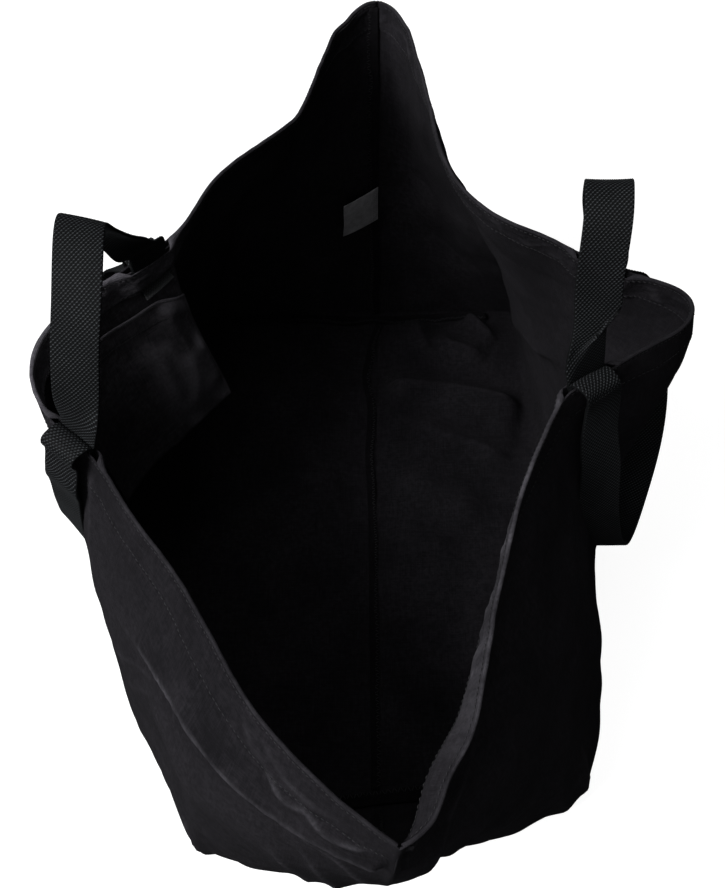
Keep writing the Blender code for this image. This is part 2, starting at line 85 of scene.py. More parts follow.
FULLNESS = {
    'left': [(26, 25), (32, 34), (14, 22), (19, 20), (16, 16), (10, 5), (8, 5), (10, 12), (12, 12), (10, 10), (6, 4)],
    'right': [(26, 25), (24, 24), (15, 10), (12, 8), (4, 4), (0, -4), (6, 4), (8, 6), (5, 4), (8, 6), (6, 4)]}
FLARE = {
    'left': [0, 0, 0, 0, 0, 0, 0, -3, -3, 0, 0],
    'right': [0, 6, 9, 4, 0, 0, 0, 0, 0, 0, 0]}
OUTWARD = [90, 82, 55, 25, 8, 0, -8, -20, -50, -80, -90]


# ------------------------------------------------------------------ curves and surfaces
def cubic(points, par=None):
    """Natural cubic spline through the points, by chord length unless par is given."""
    p = np.asarray(points, float)
    if par is None:
        par = np.r_[0, np.cumsum(np.linalg.norm(np.diff(p, axis=0), axis=1))]
    t = np.asarray(par, float)
    n, h = len(t), np.diff(t)
    A, b = np.zeros((n, n)), np.zeros((n, p.shape[1]))
    A[0, 0] = A[-1, -1] = 1
    for i in range(1, n - 1):
        A[i, i - 1], A[i, i], A[i, i + 1] = h[i - 1], 2 * (h[i - 1] + h[i]), h[i]
        b[i] = 6 * ((p[i + 1] - p[i]) / h[i] - (p[i] - p[i - 1]) / h[i - 1])
    m = np.linalg.solve(A, b)

    def f(x):
        x = np.clip(np.asarray(x, float), t[0], t[-1])
        i = np.clip(np.searchsorted(t, x, side='right') - 1, 0, n - 2)
        d, e, k = (x - t[i])[..., None], (t[i + 1] - x)[..., None], h[i][..., None]
        return ((m[i] * e ** 3 + m[i + 1] * d ** 3) / (6 * k) + (p[i] / k - m[i] * k / 6) * e
                + (p[i + 1] / k - m[i + 1] * k / 6) * d)
    return f, t[-1]


def smooth(x):
    x = np.clip(x, 0, 1)
    return x * x * (3 - 2 * x)


CURVES = {}
for _s in SIDES:
    CURVES[_s] = dict(rim=cubic(RIM[_s]), side=cubic(BASE_SIDE[_s]), full=cubic(FULLNESS[_s], STATIONS)[0],
                      flare=cubic([(q,) for q in FLARE[_s]], STATIONS)[0],
                      out=cubic([(q,) for q in OUTWARD], STATIONS)[0])


# the near part of the right hem is turned out towards the viewer: mm inwards at the hem's lower edge
CURVES['right']['flare'] = cubic([(q,) for q in (0, 0, 0)], [0, .5, 1.0])[0]
TURN_OUT = cubic([(q,) for q in (0, 5, 9, 11.2, 13.6, 15.8, 14.6, 13, 12.2, 11, 9.5, 8.5, 6, 3.5, 0, 0, 0)],
                 [0, .01, .02, .03, .05, .075, .10, .12, .15, .17, .20, .24, .28, .33, .38, .6, 1.0])[0]


def turned(u, v):
    """Offset of the turned-out hem of the right panel."""
    d = np.clip(TURN_OUT(u)[..., 0], 0, 21)
    rim, length = CURVES['right']['rim']
    t = rim(np.clip(u + .006, 0, 1) * length) - rim(np.clip(u - .006, 0, 1) * length)
    n = np.stack([-t[..., 1], t[..., 0]], -1)
    n = n / np.maximum(np.linalg.norm(n, axis=-1, keepdims=True), 1e-9)
    b = (v - 1) * WALL
    w = np.where(b > -HEM, np.sin(np.clip(-b / HEM, 0, 1) * np.pi / 2) * .35 + np.clip(-b / HEM, 0, 1) * .65, smooth((b + 100) / (100 - HEM)))
    up = 21.5 - np.sqrt(21.5 ** 2 - d ** 2)
    return np.stack([n[..., 0] * d * w, n[..., 1] * d * w, up * w], -1)


def base_edge(side, u):
    u = np.asarray(u, float)
    f, length = CURVES[side]['side']
    a, c = U_CORNER
    near, far = np.array(NEAR_END), np.array(FAR_END)
    cn, cf = np.array(BASE_SIDE[side][0], float), np.array(BASE_SIDE[side][-1], float)
    w1, w2 = (u / a)[..., None], ((u - c) / (1 - c))[..., None]
    mid = f((u - a) / (c - a) * length)
    xy = np.where(u[..., None] <= a, near * (1 - w1) + cn * w1, np.where(u[..., None] >= c, cf * (1 - w2) + far * w2, mid))
    start, bow, end = (.055, 12.0, .020) if side == 'left' else (.036, 13.0, .020)
    bow = bow * (1 - (.14 * smooth((u - .11) / .04) if side == 'right' else 0))
    xy = xy - np.stack([0 * u, bow * smooth((u - start) / .10) * smooth((a - u) / end)], -1)
    return np.concatenate([xy, np.zeros(u.shape + (1,))], -1)


def wall(side, u, v):
    u, v = np.broadcast_arrays(np.asarray(u, float), np.asarray(v, float))
    c = CURVES[side]
    rim, length = c['rim']
    low, high = base_edge(side, u), rim(u * length)
    full = c['full'](u)
    off = full[..., 0] * 13.5 * v * (v - 2 / 3) * (v - 1) - full[..., 1] * 13.5 * v * (v - 1 / 3) * (v - 1)
    off = off - c['flare'](u)[..., 0] * smooth((v - .72) / .19) * smooth((1 - v) / .085)
    a = np.radians(c['out'](u)[..., 0])
    sg = -1 if side == 'left' else 1
    n = np.stack([sg * np.cos(a), -np.sin(a), 0 * a], -1)
    off = off + shape(side, u, v)
    tip = (2.4 * smooth((u - .962) / .03) + (1.2 if side == 'left' else -1.2) * smooth((u - .955) / .018) * smooth((1 - u) / .018)) * v
    p = low * (1 - v[..., None]) + high * v[..., None] + n * off[..., None] + np.stack([0 * tip, tip, .8 * tip], -1)
    return p + turned(u, v) if side == 'right' else p


def shape(side, u, v):
    """Slow bulges of the walls, in mm outwards."""
    def hill(x, a, b, c, d):
        return smooth((x - a) / (b - a)) * smooth((d - x) / (d - c))
    if side == 'left':
        h = 12.5 * hill(u, .82, .895, .918, .966) * hill(v, .3, .75, 2, 3)
        h = h + 2.2 * hill(u, .66, .72, .78, .84) * hill(v, .3, .8, 2, 3)
        h = h + 3.2 * hill(u, .27, .33, .37, .405) * hill(v, .48, .66, .85, 1.0)
        h = h + 4.0 * hill(u, .07, .13, .165, .19) * hill(v, .02, .14, .24, .50)
        h = h - .8 * hill(u, .950, .968, .978, .996) * hill(v, .6, .9, 2, 3)
    else:
        table = cubic([(q,) for q in (0, 3, 8, 12.8, 15.2, 15.8, 14.2, 9.4, 0)], [0, .3, .45, .6, .7, .78, .86, .93, 1.0])[0]
        h = table(v)[..., 0] * hill(u, .405, .455, .50, .56)
        h = h - 5.5 * hill(u, .90, .93, .962, .99) * hill(v, .5, .8, 2, 3)
        h = h + 3.2 * hill(u, .63, .68, .78, .88) * hill(v, .5, .85, 2, 3)
        h = h + 2.0 * hill(u, .945, .965, .978, .996) * hill(v, .6, .9, 2, 3)
        h = h + 2.2 * hill(u, .24, .30, .38, .44) * hill(v, .05, .3, .6, .85)
        h = h + 5.0 * hill(u, .055, .095, .112, .16) * hill(v, .02, .14, .24, .50)
        h = h - 4.0 * hill(u, .19, .215, .26, .32) * hill(v, .03, .12, .28, .42)
        h = h - 3.6 * hill(u, .004, .022, .036, .062) * hill(v, .02, .14, .5, .8)
    return h


def unit(a):
    return a / np.maximum(np.linalg.norm(a, axis=-1, keepdims=True), 1e-9)


def wall_frame(side, u, v):
    """Point, outward normal and upward tangent of the wall."""
    u, v = np.broadcast_arrays(np.asarray(u, float), np.asarray(v, float))
    e = 0.004
    p = wall(side, u, v)
    du = wall(side, np.clip(u + e, 0, 1), v) - wall(side, np.clip(u - e, 0, 1), v)
    dv = wall(side, u, np.clip(v + e, 0, 1)) - wall(side, u, np.clip(v - e, 0, 1))
    n = unit(np.cross(du, dv) if side == 'right' else np.cross(dv, du))
    t = unit(dv)
    edge = ((u < 1e-6) | (u > 1 - 1e-6))[..., None]
    return p, np.where(edge, unit(n * np.array([0., 1., 1.])), n), t


def local(side, u, a, b):
    """A point by its distance a outwards from the wall and b along the wall from the rim."""
    u, a, b = np.broadcast_arrays(np.asarray(u, float), np.asarray(a, float), np.asarray(b, float))
    p, n, t = wall_frame(side, u, np.clip(1 + b / WALL, 0, 1))
    return p + n * a[..., None] + t * np.maximum(b, 0)[..., None]


def bump(side, u, half, fall):
    """1 at the two handle positions, falling to 0 around them (mm along the rim)."""
    s = np.asarray(u, float) * FLAT_WIDTH
    r = 0 * s
    for ua in U_ATTACH[side]:
        r = np.maximum(r, smooth((half + fall - np.abs(s - ua * FLAT_WIDTH)) / fall))
    return r


def packing(side, u):
    """Room for the pocket's top edge under the left hem."""
    if side == 'right':
        return 0 * np.asarray(u, float)
    a, b = POCKET_U
    d = (np.abs(np.asarray(u, float) - (a + b) / 2) - (b - a) / 2) * FLAT_WIDTH
    return (POCKET_T + GAP) * smooth((14.0 - d) / 13.0)


# ------------------------------------------------------------------ noise and folds
def noise(x, y, cell, seed):
    """Smooth seeded noise from -1 to 1 over a plane in mm."""
    g = np.random.default_rng(seed).uniform(-1, 1, (61, 61))
    gx, gy = np.asarray(x, float) / cell + 1000, np.asarray(y, float) / cell + 1000
    ix, iy = np.floor(gx).astype(int), np.floor(gy).astype(int)
    fx, fy = gx - ix, gy - iy
    fx, fy = fx ** 3 * (fx * (fx * 6 - 15) + 10), fy ** 3 * (fy * (fy * 6 - 15) + 10)
    ix, iy = ix % 61, iy % 61
    jx, jy = (ix + 1) % 61, (iy + 1) % 61
    return (g[ix, iy] * (1 - fx) + g[jx, iy] * fx) * (1 - fy) + (g[ix, jy] * (1 - fx) + g[jx, jy] * fx) * fy


def polyline(pts, n=28):
    """A smooth line through a few points of a plane."""
    if len(pts) < 3:
        return np.asarray(pts, float)
    f, length = cubic(pts)
    return f(np.linspace(0, length, n))


def along(x, y, pts):
    """Signed distance to a line (+ on its left) and the share of its length at the nearest point."""
    p = polyline(pts)
    seg = np.diff(p, axis=0)
    ln = np.linalg.norm(seg, axis=1)
    cum = np.r_[0, np.cumsum(ln)]
    best, sd, s = np.full(np.shape(x), 1e9), np.zeros(np.shape(x)), np.zeros(np.shape(x))
    for k in range(len(seg)):
        dx, dy = x - p[k, 0], y - p[k, 1]
        t = np.clip((dx * seg[k, 0] + dy * seg[k, 1]) / ln[k] ** 2, 0, 1)
        d = np.hypot(dx - t * seg[k, 0], dy - t * seg[k, 1])
        m = d < best
        best = np.where(m, d, best)
        sd = np.where(m, d * np.sign(seg[k, 0] * dy - seg[k, 1] * dx), sd)
        s = np.where(m, (cum[k] + t * ln[k]) / cum[-1], s)
    return sd, s


def crest(d, w, e):
    return np.exp(-(np.sqrt(d * d + e * e) - e) / w)


def folds(x, y, rows):
    """Height and rub of a set of folds; a row is (points, height, width left, width right, rub, start, end, round)."""
    h, wear_and_painted_light = np.zeros(np.shape(x)), np.zeros(np.shape(x))
    for pts, height, wl, wr, rub, t0, t1, e in rows:
        sd, s = along(x, y, pts)
        taper = smooth(s / max(t0, 1e-3)) * smooth((1 - s) / max(t1, 1e-3))
        h = h + height * crest(sd, np.where(sd > 0, wl, wr), e) * taper
        wear_and_painted_light = np.maximum(wear_and_painted_light, rub * np.exp(-(sd / 1.7) ** 2) * taper)
    return h, wear_and_painted_light


def uvline(*pts):
    return [(a * FLAT_WIDTH, b * WALL) for a, b in pts]


# Folds of each wall, drawn on the flat panel with x growing (left of the line is towards the rim).
WALL_FOLDS = {
    'left': [
        (uvline((.004, .863), (.018, .873), (.037, .87), (.057, .863), (.081, .863), (.101, .85), (.117, .847), (.138, .85),
                (.161, .847), (.185, .84), (.211, .82), (.232, .80), (.26, .765), (.303, .71)), 7.6, 20, 5.5, 1.0, .04, .30, .8),
        (uvline((.019, .93), (.039, .917), (.058, .91), (.069, .925), (.088, .917), (.101, .927), (.111, .943), (.128, .95),
                (.136, .97), (.147, .99)), 3.4, 5, 4, .8, .08, .25, .8),
        (uvline((.044, .955), (.067, .945), (.079, .945), (.094, .95), (.103, .96), (.114, .97), (.128, .985)), 1.3, 3.5, 3, .35, .2, .3, .8),
        (uvline((.017, .70), (.035, .77), (.05, .81), (.067, .833), (.082, .85), (.099, .85)), 4.2, 7, 6, .75, .1, .3, .8),
        (uvline((.037, .503), (.053, .65), (.069, .733), (.085, .777)), 3.8, 8, 6, .55, .15, .35, .8),
        (uvline((.064, .483), (.076, .61), (.092, .657), (.104, .70)), 3.4, 7, 7, .45, .2, .35, .8),
        (uvline((.201, .287), (.19, .27), (.182, .22), (.172, .07)), 3.0, 8, 4, .6, .25, .2, .8),
        (uvline((.225, .757), (.256, .69), (.297, .56)), 1.8, 8, 8, .25, .3, .4, 1.5),
        (uvline((.226, .713), (.250, .62), (.274, .51)), 1.6, 8, 8, .2, .3, .4, 1.5),
        (uvline((.361, .983), (.352, .88), (.344, .783), (.334, .66), (.325, .543)), 2.2, 12, 6, .3, .1, .4, 1.2),
        (uvline((.14, .55), (.17, .63), (.21, .67), (.25, .66)), 2.2, 18, 12, 0, .3, .3, 4),
        (uvline((.09, .30), (.13, .42), (.16, .52)), 2.4, 16, 14, 0, .3, .3, 4),
        (uvline((.45, .93), (.47, .70), (.46, .45)), 2.5, 18, 14, 0, .3, .3, 5),
        (uvline((.66, .93), (.68, .72), (.69, .45)), 2.5, 16, 16, 0, .3, .3, 5),
        (uvline((.80, .10), (.82, .35), (.84, .62)), 3.0, 12, 16, .2, .15, .4, 3),
        (uvline((.90, .98), (.88, .80), (.87, .60)), 2.0, 12, 12, 0, .2, .4, 3)],
    'right': [
        (uvline((.004, .88), (.03, .90), (.07, .90), (.11, .885), (.15, .90), (.19, .93)), 3.2, 10, 6, .45, .04, .3, 1.0),
        (uvline((.012, .95), (.04, .94), (.07, .95), (.10, .965)), 1.8, 4, 4, .4, .1, .3, .8),
        (uvline((.02, .62), (.05, .74), (.08, .81), (.12, .84)), 3.0, 9, 7, .3, .15, .3, 1.0),
        (uvline((.05, .40), (.08, .58), (.11, .70)), 3.0, 12, 10, .2, .2, .3, 2.0),
        (uvline((.371, .357), (.365, .50), (.364, .613), (.367, .77), (.375, .9)), 2.4, 7, 9, .25, .2, .3, 1.5),
        (uvline((.205, .32), (.195, .22), (.185, .07)), 3.0, 5, 8, .4, .25, .2, .8),
        (uvline((.24, .90), (.25, .65), (.24, .42)), 2.2, 18, 14, 0, .3, .3, 5),
        (uvline((.46, .70), (.49, .45), (.50, .22)), 2.4, 16, 16, 0, .3, .3, 5),
        (uvline((.80, .10), (.79, .35), (.76, .62), (.75, .80)), 3.2, 12, 16, .1, .15, .4, 3),
        (uvline((.87, .30), (.90, .45), (.94, .52), (.975, .50)), 3.4, 12, 9, .15, .25, .25, 2.5),
        (uvline((.86, .22), (.90, .30), (.95, .33)), 2.4, 9, 9, .1, .25, .25, 2.0),
        (uvline((.86, .99), (.85, .86), (.86, .70)), 1.8, 9, 9, 0, .1, .5, 2.0),
        (uvline((.62, .50), (.665, .40), (.72, .30), (.768, .20)), -6.0, 20, 6, 0, .25, .25, 1.4)]}
# Wrinkles of the base, in mm on the floor; heights only lift it.
BASE_FOLDS = [
    ([(10, 138), (45, 133), (70, 129), (97, 123), (133, 113)], 6.5, 6, 20, .10, .15, .1, 1.6),
    ([(30, 104), (54, 86), (77, 77), (118, 56)], 4.2, 14, 9, .05, .25, .25, 2.5),
    ([(84, 217), (98, 199), (111, 183)], 4.0, 6, 7, .08, .2, .3, 1.6),
    ([(52, 190), (78, 176), (104, 166)], 4.0, 10, 8, .05, .3, .3, 2.2),
    ([(40, 214), (44, 190), (56, 168)], 3.4, 8, 9, .05, .2, .4, 2.2),
    ([(14, -24), (29, -22), (45, -19), (70, -18)], 3.4, 12, 8, .04, .3, .4, 2.2),
    ([(20, 60), (60, 30), (100, 20)], 2.6, 18, 14, .02, .3, .3, 5.0),
    ([(-100, 120), (-60, 132), (-20, 140)], 3.0, 14, 12, 0, .3, .2, 3.0),
    ([(-90, 20), (-50, 40), (-20, 44)], 3.0, 16, 12, 0, .3, .3, 4.0),
    ([(118, -120), (90, -90), (60, -84)], 3.2, 16, 12, 0, .3, .3, 4.0),
    ([(-110, -150), (-80, -130), (-40, -128)], 3.0, 16, 12, 0, .3, .3, 4.0)]


def relief(side, u, v):
    """Height of the cloth's own folds above the smooth wall, and the rub on their tops."""
    u, v = np.broadcast_arrays(np.asarray(u, float), np.asarray(v, float))
    x, y = u * FLAT_WIDTH, v * WALL
    b = y - WALL
    k = 11 if side == 'left' else 47
    h, wear_and_painted_light = folds(x, y, WALL_FOLDS[side])
    h = h + 1.5 * noise(x, y * .6, 74, k) + 1.25 * noise(x * .8, y, 33, k + 1) + .50 * noise(x, y, 13, k + 2)
    h = h + .9 * noise(x - y, (x + y) * .35, 26, k + 3) * smooth((.92 - v) / .3)
    # the side seams draw the cloth into small puckers
    for d, sd in ((x, 5), (FLAT_WIDTH - x, 6)):
        h = h + np.exp(-d / 9.0) * .75 * noise(y * 1.0, 0 * y + sd * 40, 6.5, k + sd)
        h = h - 1.2 * np.exp(-(d / 3.0) ** 2)
    h = h * smooth(x / 12) * smooth((FLAT_WIDTH - x) / 12) * smooth(y / 26)
    # hem: thicker edge with two sewn lines, and the ends of webbing showing through
    h = h * (1 - .55 * smooth((b + HEM + 6) / 14))
    h = h + .35 * smooth((b + HEM + 1.2) / 1.8)
    h = h - .42 * np.exp(-((b + 2.3) / .75) ** 2) - .42 * np.exp(-((b + 20.3) / .75) ** 2)
    h = h + .22 * noise(x, b * 3, 5.2, k + 9) * np.exp(-np.minimum(np.abs(b + 2.3), np.abs(b + 20.3)) / 3.0)
    h = h + .7 * bump(side, u, 10, 7) * smooth((b + TAB_DEPTH + 2) / 4)
    ends = smooth(x / 4) * smooth((FLAT_WIDTH - x) / 4)
    wear_and_painted_light = np.maximum(wear_and_painted_light, .22 * smooth((b + 1.6) / 1.2))
    wear_and_painted_light = wear_and_painted_light * (.55 + .45 * noise(x, y, 9, k + 12)) * (.75 + .25 * noise(x, y, 2.6, k + 13))
    return h * ends, np.clip(wear_and_painted_light, 0, 1)


def base_relief(x, y):
    h, wear_and_painted_light = folds(x, y, BASE_FOLDS)
    h = 2.6 * h + 1.3 + 1.1 * noise(x, y, 60, 91) + .7 * noise(x, y, 24, 92)
    for yy in (NEAR_END[1], FAR_END[1]):
        h = h + .6 * np.exp(-np.abs(y - yy) / 12) * (1 + noise(x, 0 * x + yy, 7, 93))
    return np.maximum(h, 0), wear_and_painted_light * (.6 + .4 * noise(x, y, 8, 94))


# ------------------------------------------------------------------ meshes
def grid(n, m, start=0):
    i, j = np.meshgrid(np.arange(n - 1), np.arange(m - 1), indexing='ij')
    a = (i * m + j).ravel() + start
    return np.stack([a, a + 1, a + m + 1, a + m], 1)


def normals(verts, quads):
    fn = np.cross(verts[quads[:, 2]] - verts[quads[:, 0]], verts[quads[:, 3]] - verts[quads[:, 1]])
    vn = np.zeros_like(verts)
    for c in range(4):
        for d in range(3):
            vn[:, d] += np.bincount(quads[:, c], fn[:, d], len(verts))
    return unit(vn)


def make(name, verts, quads, uv=None, materials=(), attrs=None):
    """A mesh object from points in mm; uv is one pair for each corner of each face, in mm."""
    quads = np.asarray(quads, np.int32)
    v = np.asarray(verts, float)
    q = v[quads]
    vol = np.einsum('ij,ij->i', q[:, 0], np.cross(q[:, 1], q[:, 2])).sum() + np.einsum('ij,ij->i', q[:, 0], np.cross(q[:, 2], q[:, 3])).sum()
    if vol < 0:
        quads = quads[:, ::-1].copy()
        if uv is not None:
            uv = uv[:, ::-1]
    me = bpy.data.meshes.new(name)
    me.vertices.add(len(v))
    me.vertices.foreach_set('co', ((v - ORIGIN) * .001).astype(np.float32).ravel())
    me.loops.add(quads.size)
    me.loops.foreach_set('vertex_index', quads.ravel())
    me.polygons.add(len(quads))
    me.polygons.foreach_set('loop_start', np.arange(0, quads.size, 4, dtype=np.int32))
    me.polygons.foreach_set('use_smooth', np.ones(len(quads), bool))
    me.update(calc_edges=True)
    if uv is not None:
        layer = me.uv_layers.new(name='UVMap')
        layer.data.foreach_set('uv', (np.asarray(uv).reshape(-1, 2) * .1).astype(np.float32).ravel())
    for key, val in (attrs or {}).items():
        at = me.attributes.new(key, 'FLOAT', 'POINT')
        at.data.foreach_set('value', np.asarray(val, np.float32).ravel())
    me.validate()
    for m in materials:
        me.materials.append(m)
    ob = bpy.data.objects.new(name, me)
    bpy.context.scene.collection.objects.link(ob)
    return ob


def cloth(name, outer, inner, quads, uv, mat, bulge=.35, attrs=None):
    """Closed sheet between two copies of a surface, with a rounded edge."""
    k = len(outer)
    quads = np.asarray(quads, np.int64)
    uvf = uv if uv.ndim == 3 else uv[quads]
    a, b = quads.ravel(), np.roll(quads, -1, axis=1).ravel()
    edge = ~np.isin(a * k + b, b * k + a)
    ea, eb = a[edge], b[edge]
    face = np.nonzero(edge)[0] // 4
    fq = outer[quads[face]]
    fn = np.cross(fq[:, 2] - fq[:, 0], fq[:, 3] - fq[:, 1])
    out = unit(np.cross(outer[eb] - outer[ea], fn))
    acc = np.zeros((k, 3))
    for ids in (ea, eb):
        for d in range(3):
            acc[:, d] += np.bincount(ids, out[:, d], k)
    ids = np.unique(np.r_[ea, eb])
    mid = (outer[ids] + inner[ids]) / 2 + unit(acc[ids]) * bulge
    where = np.zeros(k, np.int64)
    where[ids] = 2 * k + np.arange(len(ids))
    verts = np.concatenate([outer, inner, mid])
    faces = np.concatenate([quads, quads[:, ::-1] + k, np.stack([eb, ea, where[ea], where[eb]], 1),
                            np.stack([where[eb], where[ea], k + ea, k + eb], 1)])
    cu = uvf.reshape(-1, 2)
    ua, ub = cu[edge], cu[(np.nonzero(edge)[0] // 4) * 4 + (np.nonzero(edge)[0] + 1) % 4]
    side = np.stack([ub, ua, ua, ub], 1)
    uvs = np.concatenate([uvf, uvf[:, ::-1], side, side])
    at = {key: np.concatenate([val, val, val[ids]]) for key, val in (attrs or {}).items()}
    return make(name, verts, faces, uvs, [mat], at)


THREAD = [(-.5, -.05, .35), (-.28, .55, .85), (0, .8, 1.0), (.28, .55, .85), (.5, -.05, .35)]   # along, up, thickness


def stitches(name, P, T, N, mat, length=2.4, width=.5, height=.42):
    """Rows of sewn thread: one short stitch at each point."""
    P, T, N = P.reshape(-1, 3), unit(T.reshape(-1, 3)), unit(N.reshape(-1, 3))
    S = unit(np.cross(N, T))
    rings = []
    for al, up, th in THREAD:
        c = P + T * al * length + N * up * height
        for ang in (0, 90, 180, 270):
            rings.append(c + (S * math.cos(math.radians(ang)) + N * math.sin(math.radians(ang))) * th * width / 2)
    V = np.stack(rings, 1)                              # (stitches, 20, 3)
    f = []
    for r in range(4):
        for c in range(4):
            f.append((4 * r + c, 4 * r + (c + 1) % 4, 4 * r + 4 + (c + 1) % 4, 4 * r + 4 + c))
    f += [(3, 2, 1, 0), (16, 17, 18, 19)]
    f = np.array(f)
    Q = (f[None] + 20 * np.arange(len(P))[:, None, None]).reshape(-1, 4)
    return make(name, V.reshape(-1, 3), Q, np.zeros((len(Q), 4, 2)), [mat])


# ------------------------------------------------------------------ materials
def shader(name, slots):
    m = bpy.data.materials.new(name)
    m.use_nodes = True
    nt = m.node_tree
    b = nt.nodes['Principled BSDF']
    for key, val in slots.items():
        b.inputs[key].default_value = val
    return m, nt, b


def node(nt, kind, **kw):
    n = nt.nodes.new(kind)
    for key, val in kw.items():
        if hasattr(n, key):
            setattr(n, key, val)
    return n


def math_(nt, op, a, b=None):
    n = node(nt, 'ShaderNodeMath', operation=op)
    for i, x in enumerate((a, b)):
        if x is None:
            continue
        if isinstance(x, (int, float)):
            n.inputs[i].default_value = x
        else:
            nt.links.new(x, n.inputs[i])
    return n.outputs[0]


def noise_(nt, vec, scale, detail=2.0, rough=.5):
    n = node(nt, 'ShaderNodeTexNoise')
    n.inputs['Scale'].default_value = scale
    n.inputs['Detail'].default_value = detail
    n.inputs['Roughness'].default_value = rough
    nt.links.new(vec, n.inputs['Vector'])
    return n.outputs['Fac']


def stretch(nt, vec, sx, sy, sz=1.0):
    n = node(nt, 'ShaderNodeMapping')
    n.inputs['Scale'].default_value = (sx, sy, sz)
    nt.links.new(vec, n.inputs['Vector'])
    return n.outputs['Vector']


def mixc(nt, fac, a, b):
    n = node(nt, 'ShaderNodeMix', data_type='RGBA')
    for sock, x in ((n.inputs['Factor'], fac), (n.inputs[6], a), (n.inputs[7], b)):
        if isinstance(x, tuple):
            sock.default_value = (*x, 1) if len(x) == 3 else x
        elif isinstance(x, (int, float)):
            sock.default_value = x
        else:
            nt.links.new(x, sock)
    return n.outputs[2]


def ramp(nt, x, lo, hi, to0=0.0, to1=1.0):
    n = node(nt, 'ShaderNodeMapRange')
    n.inputs['From Min'].default_value, n.inputs['From Max'].default_value = lo, hi
    n.inputs['To Min'].default_value, n.inputs['To Max'].default_value = to0, to1
    nt.links.new(x, n.inputs['Value'])
    return n.outputs[0]


def canvas(name, dark, light, pitch=0.62, bumpiness=1.25):
    """Plain-woven heavy cotton; the UV map is in centimetres of cloth."""
    m, nt, b = shader(name, {'Roughness': .95, 'Specular IOR Level': .06, 'Sheen Weight': .012, 'Sheen Roughness': .5})
    b.inputs['Sheen Tint'].default_value = (.80, .78, .88, 1)
    uv = node(nt, 'ShaderNodeUVMap', uv_map='UVMap').outputs[0]
    obj = node(nt, 'ShaderNodeTexCoord').outputs['Object']
    sep = node(nt, 'ShaderNodeSeparateXYZ')
    nt.links.new(uv, sep.inputs[0])
    k = 2 * math.pi * 10 / (2 * pitch)
    wob = math_(nt, 'MULTIPLY', noise_(nt, uv, 2.2, 1), 1.2)
    sx = math_(nt, 'SINE', math_(nt, 'ADD', math_(nt, 'MULTIPLY', sep.outputs[0], k), wob))
    sy = math_(nt, 'SINE', math_(nt, 'ADD', math_(nt, 'MULTIPLY', sep.outputs[1], k), wob))
    weave = math_(nt, 'ABSOLUTE', math_(nt, 'MULTIPLY', sx, sy))
    slub1 = noise_(nt, stretch(nt, uv, 16, .55), 1.0, 2)
    slub2 = noise_(nt, stretch(nt, uv, .55, 16), 1.0, 2)
    slub = math_(nt, 'MULTIPLY', math_(nt, 'ADD', slub1, slub2), .5)
    mottle = noise_(nt, obj, 16.0, 4, .6)
    fine = noise_(nt, obj, 900.0, 2, .6)
    tone_and_painted_light = math_(nt, 'ADD', math_(nt, 'MULTIPLY', slub, .55), math_(nt, 'MULTIPLY', mottle, .45))
    col = mixc(nt, ramp(nt, tone_and_painted_light, .40, .60), dark, light)
    col = mixc(nt, ramp(nt, noise_(nt, obj, 300.0, 3, .65), .38, .62, .50, 0.0), col, tuple(c * .45 for c in dark))
    # painted shade between the threads of the weave
    col = mixc(nt, ramp(nt, weave, 0.0, .45, .62, 0.0), col, tuple(c * .25 for c in dark))
    lint = ramp(nt, fine, .74, .80)
    col = mixc(nt, math_(nt, 'MULTIPLY', lint, .5), col, (.045, .043, .048))
    # lightens the colour: real wear on rims, seams and fold tops, plus painted light on the hem facing and the pocket
    wear_and_painted_light = node(nt, 'ShaderNodeAttribute', attribute_name='wear_and_painted_light').outputs['Fac']
    fuzz = ramp(nt, noise_(nt, obj, 420.0, 3, .7), .35, .65, .55, 1.15)
    col = mixc(nt, math_(nt, 'MULTIPLY', wear_and_painted_light, fuzz), col, (.088, .084, .096))
    nt.links.new(col, b.inputs['Base Color'])
    h = math_(nt, 'ADD', math_(nt, 'MULTIPLY', weave, .75), math_(nt, 'MULTIPLY', slub, .8))
    h = math_(nt, 'ADD', h, math_(nt, 'MULTIPLY', fine, .35))
    bp = node(nt, 'ShaderNodeBump')
    bp.inputs['Strength'].default_value = bumpiness
    bp.inputs['Distance'].default_value = .00022
    nt.links.new(h, bp.inputs['Height'])
    nt.links.new(bp.outputs[0], b.inputs['Normal'])
    return m


def webbing(name):
    m, nt, b = shader(name, {'Roughness': .75, 'Specular IOR Level': .10, 'Sheen Weight': .012, 'Sheen Roughness': .4})
    b.inputs['Sheen Tint'].default_value = (.85, .92, .96, 1)
    uv = node(nt, 'ShaderNodeUVMap', uv_map='UVMap').outputs[0]
    obj = node(nt, 'ShaderNodeTexCoord').outputs['Object']
    tone_and_painted_light = node(nt, 'ShaderNodeAttribute', attribute_name='tone_and_painted_light').outputs['Fac']
    fib = noise_(nt, stretch(nt, uv, 60, 9), 1.0, 2, .6)
    mot = noise_(nt, obj, 60.0, 3, .6)
    # painted shade near black in the weave's gaps, painted highlight on the warp ovals
    col = mixc(nt, ramp(nt, tone_and_painted_light, .46, .78), (.0003, .0004, .0005), (.0066, .0074, .0080))
    col = mixc(nt, ramp(nt, tone_and_painted_light, .74, .97, 0, 1.0), col, (.080, .086, .093))
    col = mixc(nt, ramp(nt, fib, .4, .75, 0, .30), col, (.006, .007, .008))
    col = mixc(nt, ramp(nt, mot, .35, .7, .35, 0), col, (.0015, .0018, .002))
    fray = node(nt, 'ShaderNodeAttribute', attribute_name='fray').outputs['Fac']
    col = mixc(nt, math_(nt, 'MULTIPLY', fray, ramp(nt, fib, .3, .6)), col, (.16, .165, .17))
    nt.links.new(col, b.inputs['Base Color'])
    bp = node(nt, 'ShaderNodeBump')
    bp.inputs['Strength'].default_value = .45
    bp.inputs['Distance'].default_value = .0002
    nt.links.new(fib, bp.inputs['Height'])
    nt.links.new(bp.outputs[0], b.inputs['Normal'])
    return m


